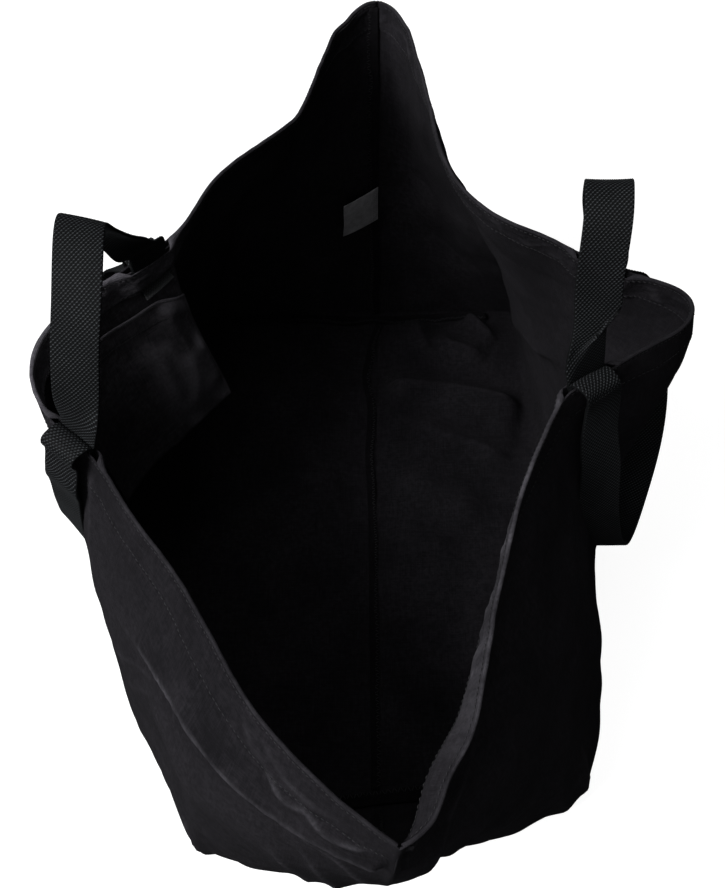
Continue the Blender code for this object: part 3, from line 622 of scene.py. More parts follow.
def satin(name):
    m, nt, b = shader(name, {'Roughness': .42, 'Specular IOR Level': .45, 'Sheen Weight': .06, 'Sheen Roughness': .3,
                             'Anisotropic': .5})
    uv = node(nt, 'ShaderNodeUVMap', uv_map='UVMap').outputs[0]
    sep = node(nt, 'ShaderNodeSeparateXYZ')
    nt.links.new(uv, sep.inputs[0])
    ribs = math_(nt, 'SINE', math_(nt, 'MULTIPLY', sep.outputs[1], 2 * math.pi * 10 / .45))
    thr = noise_(nt, stretch(nt, uv, 2.2, 40), 1.0, 3, .6)
    mot = noise_(nt, uv, 1.6, 3, .5)
    col = mixc(nt, ramp(nt, thr, .3, .7), (.200, .200, .212), (.370, .370, .384))
    col = mixc(nt, ramp(nt, mot, .35, .65, 0, .45), col, (.10, .10, .108))
    nt.links.new(col, b.inputs['Base Color'])
    nt.links.new(ramp(nt, thr, 0, 1, .36, .52), b.inputs['Roughness'])
    bp = node(nt, 'ShaderNodeBump')
    bp.inputs['Strength'].default_value = .25
    bp.inputs['Distance'].default_value = .0001
    nt.links.new(math_(nt, 'ADD', ribs, thr), bp.inputs['Height'])
    nt.links.new(bp.outputs[0], b.inputs['Normal'])
    return m


def thread(name):
    m, nt, b = shader(name, {'Roughness': .6, 'Specular IOR Level': .35, 'Sheen Weight': .05, 'Sheen Roughness': .4})
    obj = node(nt, 'ShaderNodeTexCoord').outputs['Object']
    col = mixc(nt, noise_(nt, obj, 700.0, 2, .6), (.006, .006, .007), (.018, .018, .021))
    nt.links.new(col, b.inputs['Base Color'])
    return m


M_CANVAS = canvas('black_canvas', (.0096, .0090, .0108), (.0265, .0247, .0290))
# painted shade: the seam allowances are a darker copy of the black canvas
M_SEAM_PAINTED_SHADE = canvas('black_canvas_seam_painted_shade', (.0045, .0042, .0052), (.0110, .0102, .0120))
# painted light: the hem facing is a slightly lighter copy of the black canvas
M_FACING_PAINTED_LIGHT = canvas('black_canvas_hem_painted_light', (.0108, .0101, .0121), (.0290, .0270, .0318))
# painted light: the pocket is a lighter copy of the black canvas
M_POCKET_PAINTED_LIGHT = canvas('black_canvas_pocket_painted_light', (.0270, .0255, .0297), (.0730, .0690, .0778))
M_WEB = webbing('black_webbing')
M_LABEL = satin('black_satin')
M_THREAD = thread('black_thread')


# ------------------------------------------------------------------ panels
NC, NM = 56, 184
B_ROWS = np.r_[np.linspace(-WALL, -26, 114), np.linspace(-26, 0, 34)[1:]]


def relax(verts, quads, weight, rounds):
    """Rounds off the fold between wall and base."""
    k = len(verts)
    a, b = quads.ravel(), np.roll(quads, -1, axis=1).ravel()
    cnt = np.bincount(a, minlength=k) + np.bincount(b, minlength=k)
    for _ in range(rounds):
        s = np.zeros_like(verts)
        for d in range(3):
            s[:, d] = np.bincount(a, verts[b, d], k) + np.bincount(b, verts[a, d], k)
        verts = verts + (s / cnt[:, None] - verts) * (weight * .6)[:, None]
    return verts


def panel(side):
    a, c = U_CORNER
    u = np.r_[np.linspace(0, a, NC + 1)[:-1], np.linspace(a, c, NM + 1)[:-1], np.linspace(c, 1, NC + 1)]
    nu, nv = len(u), len(B_ROWS)
    strap = bump(side, u, 13.5, 6)
    v = 1 + B_ROWS / WALL
    U, V = np.meshgrid(u, v)
    V = V.copy()
    V[-3:] -= (1 - strap) * np.array([.1, .4, .9])[:, None] / WALL
    P = wall(side, U, V)
    sg = -1 if side == 'left' else 1
    P[:, [0, -1], 0] += sg * SEAM_CUT
    verts = [P.reshape(-1, 3)]
    index = np.zeros((NM + 1, NC + 1), np.int64)
    near, far = np.array([*NEAR_END, 0]), np.array([*FAR_END, 0])
    i, j = np.meshgrid(np.arange(NM + 1), np.arange(NC + 1), indexing='ij')
    ctr = near + (far - near) * (i / NM)[..., None]
    edge = base_edge(side, u[NC:NC + NM + 1])[:, None]
    B = ctr + (edge - ctr) * (j / NC)[..., None]
    B[:, 0, 0] += sg * SEAM_CUT
    inner = (i > 0) & (i < NM) & (j < NC)
    index[inner] = nu * nv + np.arange(inner.sum())
    index[0, :] = np.arange(NC + 1)
    index[NM, :] = nu - 1 - np.arange(NC + 1)
    index[1:NM, NC] = NC + np.arange(1, NM)
    verts = np.concatenate([P.reshape(-1, 3), B[inner]])
    q1 = grid(nv, nu)
    q2 = np.stack([index[1:, 1:], index[:-1, 1:], index[:-1, :-1], index[1:, :-1]], -1).reshape(-1, 4)
    uv = np.concatenate([np.stack([U * FLAT_WIDTH, V * WALL], -1).reshape(-1, 2), verts[nu * nv:, :2]])
    uvf = np.concatenate([uv[q1], verts[q2][..., :2] + [40, 900]])
    quads = np.concatenate([q1, q2])
    if side == 'left':
        quads, uvf = quads[:, ::-1], uvf[:, ::-1]
    # round the base fold
    s_wall = (V * WALL) * 1.0
    w = smooth((30 - s_wall) / 22) * smooth(U * FLAT_WIDTH / 10) * smooth((1 - U) * FLAT_WIDTH / 10)
    ends = smooth((U - U_CORNER[0] + .02) / .04) * smooth((U_CORNER[1] + .02 - U) / .04)
    w = w * (.04 + .96 * ends)
    cell = np.linalg.norm(edge[:, 0] - ctr[:, 0], axis=1)[:, None] / NC
    dist = np.minimum((NC - j) * cell, np.minimum(i, NM - i) * 2.44 + 8)
    wb = smooth((30 - (NC - j) * cell) / 22) * smooth(j * 2.4 / 8) * (.04 + .96 * smooth((np.minimum(i, NM - i) * 2.44) / 30))
    weight = np.r_[w.ravel(), wb[inner]]
    verts = relax(verts, quads, weight, 42)
    n = normals(verts, quads)
    h, wear_and_painted_light = relief(side, U, V)
    h = h.ravel()
    x, y = verts[nu * nv:, 0], verts[nu * nv:, 1]
    hb, wb2 = base_relief(x, y)
    rest = smooth(dist[inner] / 26) * smooth(np.minimum(i, NM - i)[inner] * 2.44 / 16 + .25)
    verts = verts.copy()
    verts[:nu * nv] += n[:nu * nv] * h[:, None]
    verts[nu * nv:, 2] += hb * rest
    # keep the two panels together along the seams
    W = verts[:nu * nv].reshape(nv, nu, 3)
    W[:, 0] = P[:, 0]
    W[:, -1] = P[:, -1]
    n = normals(verts, quads)
    wear_and_painted_light = np.r_[wear_and_painted_light.ravel(), np.clip(wb2, 0, 1) * rest]
    # cloth meets its neighbour on a mitre along the side seams
    inner_pts = verts - n * CLOTH
    ob = cloth('canvas_panel_' + side, verts, inner_pts, quads, uvf, M_CANVAS, .3, {'wear_and_painted_light': wear_and_painted_light})
    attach(ob, 'bag')
    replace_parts(ob, 'panel_' + side)
    return ob


def hem_offset(side, u):
    return CLOTH + GAP + bump(side, u, 13.5, 16) * 2 * (WEB_T + GAP) + packing(side, u)


def facing(side):
    """The turned hem, rolled over the rim between the handles."""
    u = np.linspace(.003, .997, 300)
    b = np.r_[-22.4, -22.2, np.linspace(-21.8, -18.6, 6), np.linspace(-17.6, -4.4, 13), np.linspace(-3.6, -1.0, 6)]
    off, k = hem_offset(side, u), bump(side, u, 13.5, 8)
    r = (1 - k) * (off + FACING) / 2 + k * FACING / 2
    outer, inner, pucker = [], [], []
    for x in b:
        p, n, t = wall_frame(side, u, 1 + x / WALL)
        h = relief(side, u, 1 + x / WALL)[0]
        ripple = (1.0 * noise(u * FLAT_WIDTH - .6 * x, 0 * u + x * .5, 8.5, 71 if side == 'left' else 72)
                  + .6 * noise(u * FLAT_WIDTH + .5 * x, 0 * u + x, 4.2, 74)) * smooth((-2.5 - x) / 5) * smooth((x + 21) / 4)
        ripple = ripple * (1 + 1.3 * np.exp(-u / .03))
        groove = -.4 * math.exp(-((x + 2.3) / .8) ** 2) - .5 * math.exp(-((x + 20.0) / .9) ** 2)
        edge = .9 * smooth((-20.9 - x) / .8) * (1 + .35 * noise(u * FLAT_WIDTH, 0 * u + 3, 9, 76))
        pucker.append(ripple + edge)
        outer.append(p + n * (h - off)[:, None])
        inner.append(p + n * (h - off - FACING - groove - ripple + edge)[:, None])
    p, n, t = wall_frame(side, u, 1 + b[-1] / WALL)
    h = relief(side, u, 1 + b[-1] / WALL)[0]
    turn = np.radians(180 * (1 - k) + 80 * k)
    for f in np.linspace(.12, 1, 8):
        phi = turn * f
        ctr = off + FACING - r
        for rows, rad in ((inner, r), (outer, np.maximum(r - FACING, .2))):
            rows.append(p + n * (h - ctr - rad * np.cos(phi))[:, None] + t * (rad * np.sin(phi))[:, None])
    outer, inner = np.array(outer), np.array(inner)
    bb = np.r_[b, b[-1] + 1.5 + np.arange(8) * .5]
    uv = np.stack(np.broadcast_arrays(u[None] * FLAT_WIDTH, -bb[:, None]), -1).reshape(-1, 2)
    wear_and_painted_light = np.broadcast_to(smooth((bb + 1.4) / 1.6)[:, None] * .22, (len(bb), len(u))).copy()
    # painted highlight on the tops of the puckers
    wear_and_painted_light[:len(b)] += .30 * smooth((np.array(pucker) - .15) / 1.0)
    # painted light on the turned-out strip of the right hem and on the left hem band over the pocket
    painted_light_band = .50 * smooth((u - .05) / .06) * smooth((.42 - u) / .1) if side == 'right' else 1.6 * smooth((u - .40) / .05) * smooth((.68 - u) / .05)
    wear_and_painted_light = wear_and_painted_light + painted_light_band[None] * (1 + .5 * noise(u * FLAT_WIDTH, 0 * u + 5, 14, 78))[None]
    wear_and_painted_light = wear_and_painted_light * (.7 + .3 * noise(u * FLAT_WIDTH, 0 * u, 7, 73))[None]
    ob = cloth('hem_' + side, inner.reshape(-1, 3), outer.reshape(-1, 3), grid(len(bb), len(u)), uv, M_FACING_PAINTED_LIGHT, .25,
               {'wear_and_painted_light': np.clip(wear_and_painted_light, 0, 1).ravel()})
    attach(ob, 'bag')
    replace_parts(ob, 'hem_facing_' + side)
    return ob


def hem_stitches(side):
    P, T, N = [], [], []
    rows = int(FLAT_WIDTH / 3.15)
    u0 = (np.arange(2, rows - 2) + .5) / rows
    for b in (-2.3, -20.3):
        for inside in (False, True):
            u = u0 + (.25 / rows if inside else 0)
            u = u + .12 / rows * noise(u * 900, 0 * u + b, 3, 80)
            v = 1 + b / WALL
            p, n, _ = wall_frame(side, u, v)
            h = relief(side, u, v)[0]
            t = wall(side, u + .0006, v) - wall(side, u - .0006, v)
            if inside:
                P.append(p + n * (h - hem_offset(side, u) - FACING + .30)[:, None])
                N.append(-n)
            else:
                P.append(p + n * (h - .02)[:, None])
                N.append(n)
            T.append(t)
    ob = stitches('hem_stitching_' + side, np.concatenate(P), np.concatenate(T), np.concatenate(N), M_THREAD)
    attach(ob, 'bag')
    return ob


for s in SIDES:
    panel(s)
    facing(s)
    hem_stitches(s)


# ------------------------------------------------------------------ seams inside
def fin(name, p, lat, up, width, thick, tilt, node_name, seed, rows=9, curl=.6, sew=True):
    """A pressed seam allowance: from the seam line p, sideways along lat and rising along up."""
    n = len(p)
    w = np.linspace(0, 1, rows)
    s = np.r_[0, np.cumsum(np.linalg.norm(np.diff(p, axis=0), axis=1))]
    ang = np.radians(tilt + 13 * noise(s, 0 * s, 24, seed) + 7 * noise(s, 0 * s, 9, seed + 1))
    wd = width * (1 + .10 * noise(s, 0 * s, 17, seed + 2))
    lift = .8 * noise(s[:, None] * np.ones(rows), w * 30, 12, seed + 3) * w
    mid = (p[:, None] + lat[:, None] * (w * wd[:, None] * np.cos(ang)[:, None])[..., None]
           + up[:, None] * (w * wd[:, None] * np.sin(ang)[:, None] + lift - curl * w ** 3 * wd[:, None] * .12)[..., None])
    q = grid(n, rows)
    nn = normals(mid.reshape(-1, 3), q)
    if (nn.reshape(n, rows, 3)[n // 2, 0] @ up[n // 2]) < 0:
        q = q[:, ::-1]
        nn = -nn
    m = mid.reshape(-1, 3)
    uv = np.stack(np.broadcast_arrays(s[:, None], w * width + 500), -1).reshape(-1, 2)
    wear_and_painted_light = np.broadcast_to(.10 * w ** 6, (n, rows)).ravel()
    ob = cloth(name, m + nn * thick, m, q, uv, M_SEAM_PAINTED_SHADE, .4, {'wear_and_painted_light': wear_and_painted_light * .3})
    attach(ob, 'bag')
    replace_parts(ob, node_name)
    if sew:
        f_mid = cubic(np.c_[mid[:, -2], nn.reshape(n, rows, 3)[:, -2], (mid[:, -1] - mid[:, -3])], s)[0]
        at = np.arange(2, s[-1] - 2, 2.3)
        r = f_mid(at)
        zig = np.where(np.arange(len(at)) % 2 == 0, 1.0, -1.0)[:, None]
        tan = unit(np.gradient(r[:, :3], axis=0))
        st = stitches(name + '_overlock', r[:, :3] + unit(r[:, 3:6]) * (thick + .05), unit(unit(r[:, 6:9]) + tan * .55 * zig), unit(r[:, 3:6]),
                      M_THREAD, length=3.2, width=.45, height=.35)
        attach(st, 'bag')
    return ob


def side_fin(name, u, towards, node_name, seed, top=.985):
    v = np.linspace(.012, top, 120)
    p, n, _ = wall_frame('left', u + 0 * v, v)
    up = -n
    lat = unit(wall(towards, abs(u - .016) + 0 * v, v) - p)
    lat = unit(lat - up * (lat * up).sum(-1, keepdims=True))
    return fin(name, p + up * (CLOTH + .9), lat, up, 7.5, 1.6, 11, node_name, seed)


side_fin('side_seam_allowance_far', 1.0, 'left', 'side_seam_far', 301)
side_fin('side_seam_allowance_near', 0.0, 'right', 'side_seam_near', 311)


def base_fin(name, line, lat_sign, width, node_name, seed, z=2.2):
    f, length = cubic(line)
    s = np.linspace(0, length, int(length / 2.6))
    c = f(s)
    t = unit(np.gradient(c, axis=0))
    lat = np.c_[-t[:, 1], t[:, 0], 0 * t[:, 0]] * lat_sign
    h = base_relief(c[:, 0], c[:, 1])[0]
    p = np.c_[c, z + h * .9]
    return fin(name, p, lat, np.tile([0., 0, 1.], (len(p), 1)), width, 1.5, 9, node_name, seed)


base_fin('bottom_seam_allowance', [(5, 206), (0, 190), (-4, 168), (-7, 151), (-5, 134), (-3, 104), (-5, 74),
                                   (-4, 44), (-3, -10), (-3, -60), (-3, -141), (-3, -208)], 1, 6.0, 'bottom_seam', 321)
base_fin('boxed_seam_allowance_near', [(-117, -230), (-67, -225.5), (-3, -219), (71, -210.5), (130, -205)], 1, 8.5, 'boxed_seam_near', 331)
base_fin('boxed_seam_allowance_far', [(-120, 215), (-60, 215.5), (8, 214), (60, 216.5), (103, 215.5)], -1, 8.0, 'boxed_seam_far', 341)


# ------------------------------------------------------------------ pocket
POCKET_FOOT = [(-166, -58, 152), (-152, -28, 150), (-127, 3, 148), (-102, 32, 150)]


def pocket_point(q, r):
    q, r = np.broadcast_arrays(np.asarray(q, float), np.asarray(r, float))
    u = POCKET_U[0] + (POCKET_U[1] - POCKET_U[0]) * (q - .30 * smooth((q - .4) / .6) * np.clip(r, 0, 1) * (1 - np.clip(r, 0, 1)))
    rows = [wall_frame('left', u, v + 0 * u) for v in (1 - HEM / WALL, 1.0)]
    edge, rim = [p - n * (CLOTH + GAP) for p, n, _ in rows]
    foot_f, length = cubic(POCKET_FOOT)
    foot = foot_f(q * length)
    k = np.maximum(r, 0)[..., None]
    h = np.maximum(-r, 0)[..., None]
    return edge * (1 - k - h) + foot * k + rim * h


def pocket_normal(q, r):
    e = 0.01
    a = pocket_point(np.clip(q + e, 0, 1), r) - pocket_point(np.clip(q - e, 0, 1), r)
    b = pocket_point(q, np.where(r < 0, r + e, np.clip(r + e, 0, 1))) - pocket_point(q, np.where(r < 0, r - e, np.clip(r - e, 0, 1)))
    n = unit(np.cross(b, a))
    return n * np.where(n[..., :1] < 0, -1, 1)


POCKET_FOLDS = [
    ([(96, 14), (104, 50), (98, 84), (88, 112)], 4.6, 12, 15, .10, .15, .3, 3.0),
    ([(74, 30), (80, 62), (74, 96)], 3.4, 14, 12, .06, .25, .35, 3.5),
    ([(112, 52), (117, 80), (113, 106)], 3.4, 7, 9, .14, .2, .3, 2.0),
    ([(26, 96), (60, 90), (98, 102)], 2.0, 13, 10, .04, .3, .3, 4.0),
    ([(20, 44), (40, 66), (50, 100)], 1.8, 14, 12, .03, .3, .3, 4.0)]


def pocket():
    q = np.linspace(0, 1, 62)
    width, depth = 122.0, 118.0

    def soft(Q, R):
        x, y = Q * width, np.maximum(R, 0) * depth
        h, wear_and_painted_light = folds(x, y, POCKET_FOLDS)
        h = h + .8 * noise(x, y, 30, 401) + .3 * noise(x, y, 11, 402)
        return h * smooth(R / .12) * smooth(Q / .04) * smooth((1 - Q) / .04), np.clip(wear_and_painted_light, 0, 1) * smooth(R / .1)

    r = np.r_[np.linspace(1, .02, 58), 0.0, np.linspace(-.06, -.85, 10)]
    Q, Rr = np.meshgrid(q, r)
    p, n = pocket_point(Q, Rr), pocket_normal(Q, Rr)
    hem_n = -wall_frame('left', POCKET_U[0] + (POCKET_U[1] - POCKET_U[0]) * q, 1 - HEM / WALL + 0 * q)[1]
    k = smooth((Rr - .0) / .06)[..., None]
    n = unit(n * k + hem_n[None] * (1 - k))
    h, wear_and_painted_light = soft(Q, Rr)
    p = p + n * (h * .6)[..., None]
    uv = np.stack([Q * width, Rr * depth], -1).reshape(-1, 2)
    ob = cloth('inner_pocket_back', (p + n * POCKET_T).reshape(-1, 3), p.reshape(-1, 3), grid(len(r), len(q)), uv, M_POCKET_PAINTED_LIGHT, .3,
               {'wear_and_painted_light': wear_and_painted_light.ravel() * .4})
    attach(ob, 'bag'), ob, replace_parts(ob, 'pocket_back')

    k = np.r_[np.linspace(1, .165, 44), np.linspace(.15, 0, 13)]
    Q, K = np.meshgrid(q, k)
    sag = cubic([(x,) for x in (.09, .085, .098, .115, .16, .215)], [0, .4, .6, .8, .9, 1.0])[0]
    top = sag(Q)[..., 0]                               # the opening's edge sags at the far end
    Rr = top + (1 - top) * K
    r = POCKET_DROP + (1 - POCKET_DROP) * k
    p, n = pocket_point(Q, Rr), pocket_normal(Q, Rr)
    lift = 1.5 + 4.5 * np.sin(np.pi * Q) ** .8 * np.clip(1 - K, 0, 1) ** .8
    h, wear_and_painted_light = soft(Q, Rr)
    hb = K * (1 - top) * depth                         # mm below the opening's edge
    # painted light: soft lighter patches over the right part of the pocket front
    wear_and_painted_light = np.clip(wear_and_painted_light + .75 * smooth(.5 + .9 * noise(Q * width, hb, 17, 407)) * smooth((Q - .45) / .3), 0, 1)
    band = .55 * smooth((13.2 - hb) / 1.0) - .35 * np.exp(-((hb - 11.6) / .8) ** 2) - .3 * np.exp(-((hb - 1.8) / .7) ** 2)
    band = band + .25 * noise(Q * width, hb, 8, 405) * np.exp(-np.abs(hb - 11.6) / 3)
    p0 = p + n * (lift + h)[..., None]
    p1 = p0 + n * (POCKET_T + band)[..., None]
    uv = np.stack([Q * width, Rr * depth + 300], -1).reshape(-1, 2)
    # lighter along the opening's edge and down the far side edge
    wear_and_painted_light = np.maximum(wear_and_painted_light, .55 * smooth((1.4 - hb) / 1.2) * (1 + 0 * Q))
    wear_and_painted_light = np.maximum(wear_and_painted_light, .4 * smooth((Q - .985) / .012) * (1 + 0 * hb))
    ob = cloth('inner_pocket_front', p1.reshape(-1, 3), p0.reshape(-1, 3), grid(len(r), len(q)), uv, M_POCKET_PAINTED_LIGHT, .35,
               {'wear_and_painted_light': np.clip(wear_and_painted_light, 0, 1).ravel()})
    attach(ob, 'bag'), ob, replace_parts(ob, 'pocket_front')
    # stitches: the opening's hem and down both sides
    f = lambda a: cubic(np.moveaxis(a, 0, 0).reshape(len(a), -1), np.arange(len(a)))[0]
    P, T, N = [], [], []
    nn = normals(p1.reshape(-1, 3), grid(len(r), len(q))).reshape(p1.shape)
    if (nn[20, 30] @ n[20, 30]) < 0:
        nn = -nn
    for hh in (1.8, 11.6):
        row = int(np.argmin(np.abs(hb[:, 0] - hh)))
        cf = cubic(np.c_[p1[row], nn[row]], q * width)[0]
        at = np.arange(2, width - 2, 3.0)
        c = cf(at)
        P.append(c[:, :3] + unit(c[:, 3:]) * .08), N.append(c[:, 3:]), T.append(np.gradient(c[:, :3], axis=0))
    for col in (2, len(q) - 3):
        cf = cubic(np.c_[p1[:, col], nn[:, col]], -r * depth)[0]
        at = np.arange(-depth + 2, -POCKET_DROP * depth - 1, 3.0)
        c = cf(at)
        P.append(c[:, :3] + unit(c[:, 3:]) * .02), N.append(c[:, 3:]), T.append(np.gradient(c[:, :3], axis=0))
    st = stitches('inner_pocket_stitching', np.concatenate(P), np.concatenate(T), np.concatenate(N), M_THREAD)
    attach(st, 'bag'), st


pocket()


# ------------------------------------------------------------------ care label, left blank
def care_label():
    hinge = np.array([6.4, 229.0, 133.0])
    ang = math.radians(214)
    d = np.array([math.cos(ang), math.sin(ang), 0.0])
    nn = np.array([-d[1], d[0], 0.0])
    x, z = np.meshgrid(np.linspace(.4, LABEL_W, 46), np.linspace(-LABEL_H / 2, LABEL_H / 2, 46), indexing='ij')
    k = x / LABEL_W
    bend = 1.3 * np.sin(k * 2.6) + .9 * k ** 2 * (z / 18) + .35 * np.sin(z / 5.5 + k * 2) * k + .25 * noise(x, z, 9, 501)
    sag = -1.1 * k ** 1.5
    mid = hinge + d * x[..., None] + nn * bend[..., None] + np.array([0, 0, 1.]) * (z + sag)[..., None]
    q = grid(46, 46)
    m = mid.reshape(-1, 3)
    nrm = normals(m, q)
    uv = np.stack([x, z], -1).reshape(-1, 2)
    ob = cloth('care_label_blank', m + nrm * LABEL_T * .4, m - nrm * LABEL_T * .4, q, uv, M_LABEL, .1)
    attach(ob, 'care_label'), ob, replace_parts(ob, 'care_label')
    # two rows of stitching along the seam edge
    P, N, T = [], [], []
    nr = nrm.reshape(46, 46, 3)
    for col in (3, 6):
        cf = cubic(np.c_[mid[col], nr[col]], z[col])[0]
        c = cf(np.arange(-16.5, 17, 2.6))
        for sgn in (1, -1):
            P.append(c[:, :3] + sgn * unit(c[:, 3:]) * .22), N.append(sgn * c[:, 3:]), T.append(np.gradient(c[:, :3], axis=0))
    st = stitches('care_label_stitching', np.concatenate(P), np.concatenate(T), np.concatenate(N), M_THREAD, length=2.0, width=.4, height=.25)
    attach(st, 'care_label'), st


care_label()

# ------------------------------------------------------------------ webbing
A_LONG = -(CLOTH + GAP + WEB_T / 2)
A_SHORT = -(CLOTH + 2 * GAP + 1.5 * WEB_T)
A_OUT = A_LONG + 2 * FOLD_R
SHORT_PATH = {
    'left': [(-156.6, -99, 333), (-153.2, -86, 360), (-150.2, -70, 380), (-149.8, -53, 389.5), (-150.2, -39, 392.3),
             (-150.4, -30, 390.5), (-149.8, -23, 382), (-147.5, -13, 365), (-144.5, -2, 346), (-141.5, 8, 329), (-138.8, 18, 313)],
    'right': [(116.8, -62, 330), (116, -53, 357), (116, -43, 382), (117.2, -30, 397.5), (118.3, -18, 400), (121, -5, 391),
              (125, 7, 367), (130.5, 16, 342), (135, 23, 318)]}
LONG_PATH = {
    'left': [(-173, -116, 282), (-176, -113, 262), (-179, -110, 240), (-182, -106, 220), (-184.8, -101, 200), (-186.6, -92, 176),
             (-188, -77, 152), (-189, -57, 136), (-189, -34, 128), (-189, -6, 136), (-187, 18, 158), (-182, 36, 194), (-169, 47, 236),
             (-156, 49, 268)],
    'right': [(127, -83, 272), (131, -89, 248), (134, -94, 220), (138, -97, 194), (144, -96, 168), (152.5, -88, 145),
              (163.5, -68, 130), (174, -44, 129), (183, -20, 143), (187, 4, 170), (182, 26, 204), (171, 39, 238), (158, 42, 265)]}
RIM_DIR = {'left': ((-0.77, 0.63, 0), (-0.76, -0.65, 0)), 'right': ((0.82, 0.57, 0), (0.90, -0.43, 0))}
COLUMNS = 22
CREASE = {'left': (14, 0), 'right': (36, 0)}
ARC_TO = 2.1                                # the turn over the rim: angle, then height and start above it
ARC = {'left': ((3.4, 1.0), (1.8, .6)), 'right': ((3.4, 1.0), (1.5, .6))}
PUFF = {'left': (6.0, 1.5), 'right': (5.0, .5)}
LIP = {'left': ((.6, 2.2), (.85, -1.5), (.5, -8.0)), 'right': ((.55, 2.2), (.92, -1.5), (1.0, -7.0))}
TURN = {'left': .42, 'right': .34}
MID = {'left': (-.60, .80, 0), 'right': (1, 0, 0)}
ACROSS = np.linspace(-WEB / 2, WEB / 2, 2 * COLUMNS + 1)
STEP = .65


def lean(side, end):
    ua = U_ATTACH[side][end]
    if float(packing(side, ua)) == 0:
        return 0.0
    q = (ua - POCKET_U[0]) / (POCKET_U[1] - POCKET_U[0])
    _, n, t = wall_frame(side, ua, 1 - HEM / WALL)
    d = pocket_point(q, .12) - pocket_point(q, 0.0)
    return float((d @ n) / (d @ t))


def woven(name, G, s0, body_part, node_names, ends=(True, True)):
    """Webbing over a grid of points (along, across): ovals of warp standing over gaps, closed all round, with a
    painted highlight on the ovals and painted shade in the gaps.
    """
    n, m = G.shape[:2]
    q = grid(n, m)
    nn = normals(G.reshape(-1, 3), q).reshape(G.shape)
    s = s0 + np.arange(n) * STEP
    col = (np.arange(m) - 1) // 2
    centre = np.arange(m) % 2 == 1
    phase = np.cos(np.pi * s[:, None] / 1.3 + np.pi * col[None])
    up = .5 + .5 * phase
    dn = .5 - .5 * phase
    top = np.where(centre[None], .52 * up ** .8, .30)
    bot = np.where(centre[None], .52 * dn ** .8, .30)
    # painted light of the weave: lighter on the raised warp, darker in the gaps
    weave_painted_light_top = np.where(centre[None], up, .74)
    weave_painted_light_bottom = np.where(centre[None], dn, .74)
    rim = np.zeros(m)
    rim[[0, -1]] = -.22
    half = .62 + rim[None]
    T = G + nn * (half + top)[..., None]
    B = G - nn * (half + bot)[..., None]
    uv = np.stack(np.broadcast_arrays(ACROSS[None], s[:, None]), -1).reshape(-1, 2)
    k = n * m
    ob = cloth(name, T.reshape(-1, 3), B.reshape(-1, 3), q, uv, M_WEB, .22)
    tone_and_painted_light = np.concatenate([weave_painted_light_top.ravel(), weave_painted_light_bottom.ravel(), np.full(len(ob.data.vertices) - 2 * k, .35)])
    at = ob.data.attributes.new('tone_and_painted_light', 'FLOAT', 'POINT')
    at.data.foreach_set('value', tone_and_painted_light.astype(np.float32))
    row = np.arange(n)[:, None] * STEP + 0 * ACROSS[None]
    cut = np.exp(-row / 2.6) * ends[0] + np.exp(-((n - 1) * STEP - row) / 2.6) * ends[1]
    fray = np.concatenate([cut.ravel(), cut.ravel(), np.zeros(len(ob.data.vertices) - 2 * k)])
    at = ob.data.attributes.new('fray', 'FLOAT', 'POINT')
    at.data.foreach_set('value', fray.astype(np.float32))
    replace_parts(ob, *node_names)
    return ob


def resample(C, extra):
    """Points every STEP along a path, with their other values."""
    d = np.r_[0, np.cumsum(np.linalg.norm(np.diff(C, axis=0), axis=1))]
    n = int(round(d[-1] / STEP)) + 1
    t = np.linspace(0, d[-1], n)
    return t, np.stack([np.interp(t, d, C[:, i]) for i in range(3)], 1), np.stack([np.interp(t, d, e) for e in extra], 1)


def free_part(side, pts, turn, mid, n=260):
    """Centre line and width direction of a free stretch between the two ends."""
    f, length = cubic(pts)
    s = np.linspace(0, length, n)
    c = f(s)
    wn, wf = (np.array(x, float) for x in RIM_DIR[side])
    k = s / length
    mid = unit(np.array(mid, float))
    ta, tb = turn if isinstance(turn, tuple) else (turn, turn)
    a1, a2 = smooth(1 - k / ta)[:, None], smooth((k - 1 + tb) / tb)[:, None]
    w = mid * (1 - a1 - a2) + wn * a1 + wf * a2
    return c, w


def centre_grid(C, W):
    t = unit(np.gradient(C, axis=0))
    w = unit(W - t * (W * t).sum(1, keepdims=True))
    nn = np.cross(t, w)
    x = ACROSS[None, :, None]
    cup = .35 * (1 - (2 * ACROSS / WEB) ** 2)
    return C[:, None] + w[:, None] * x + nn[:, None] * cup[None, :, None]


def sewn(side, end, a, b):
    """Rows of webbing following the panel at an end; a, b per row."""
    sgn = 1 if end == 0 else -1
    u = U_ATTACH[side][end] + sgn * ACROSS / FLAT_WIDTH
    a, b = np.asarray(a, float)[:, None], np.asarray(b, float)[:, None]
    h = relief(side, *np.broadcast_arrays(u[None], np.clip(1 + b / WALL, 0, 1)))[0]
    return local(side, u[None], a + h, b)


def hinge(name):
    for j in frame['record']['behaviour']['joints']:
        if j['name'] == name:
            return np.array(j['pos_m'], float), unit(np.array(j['axis'], float))


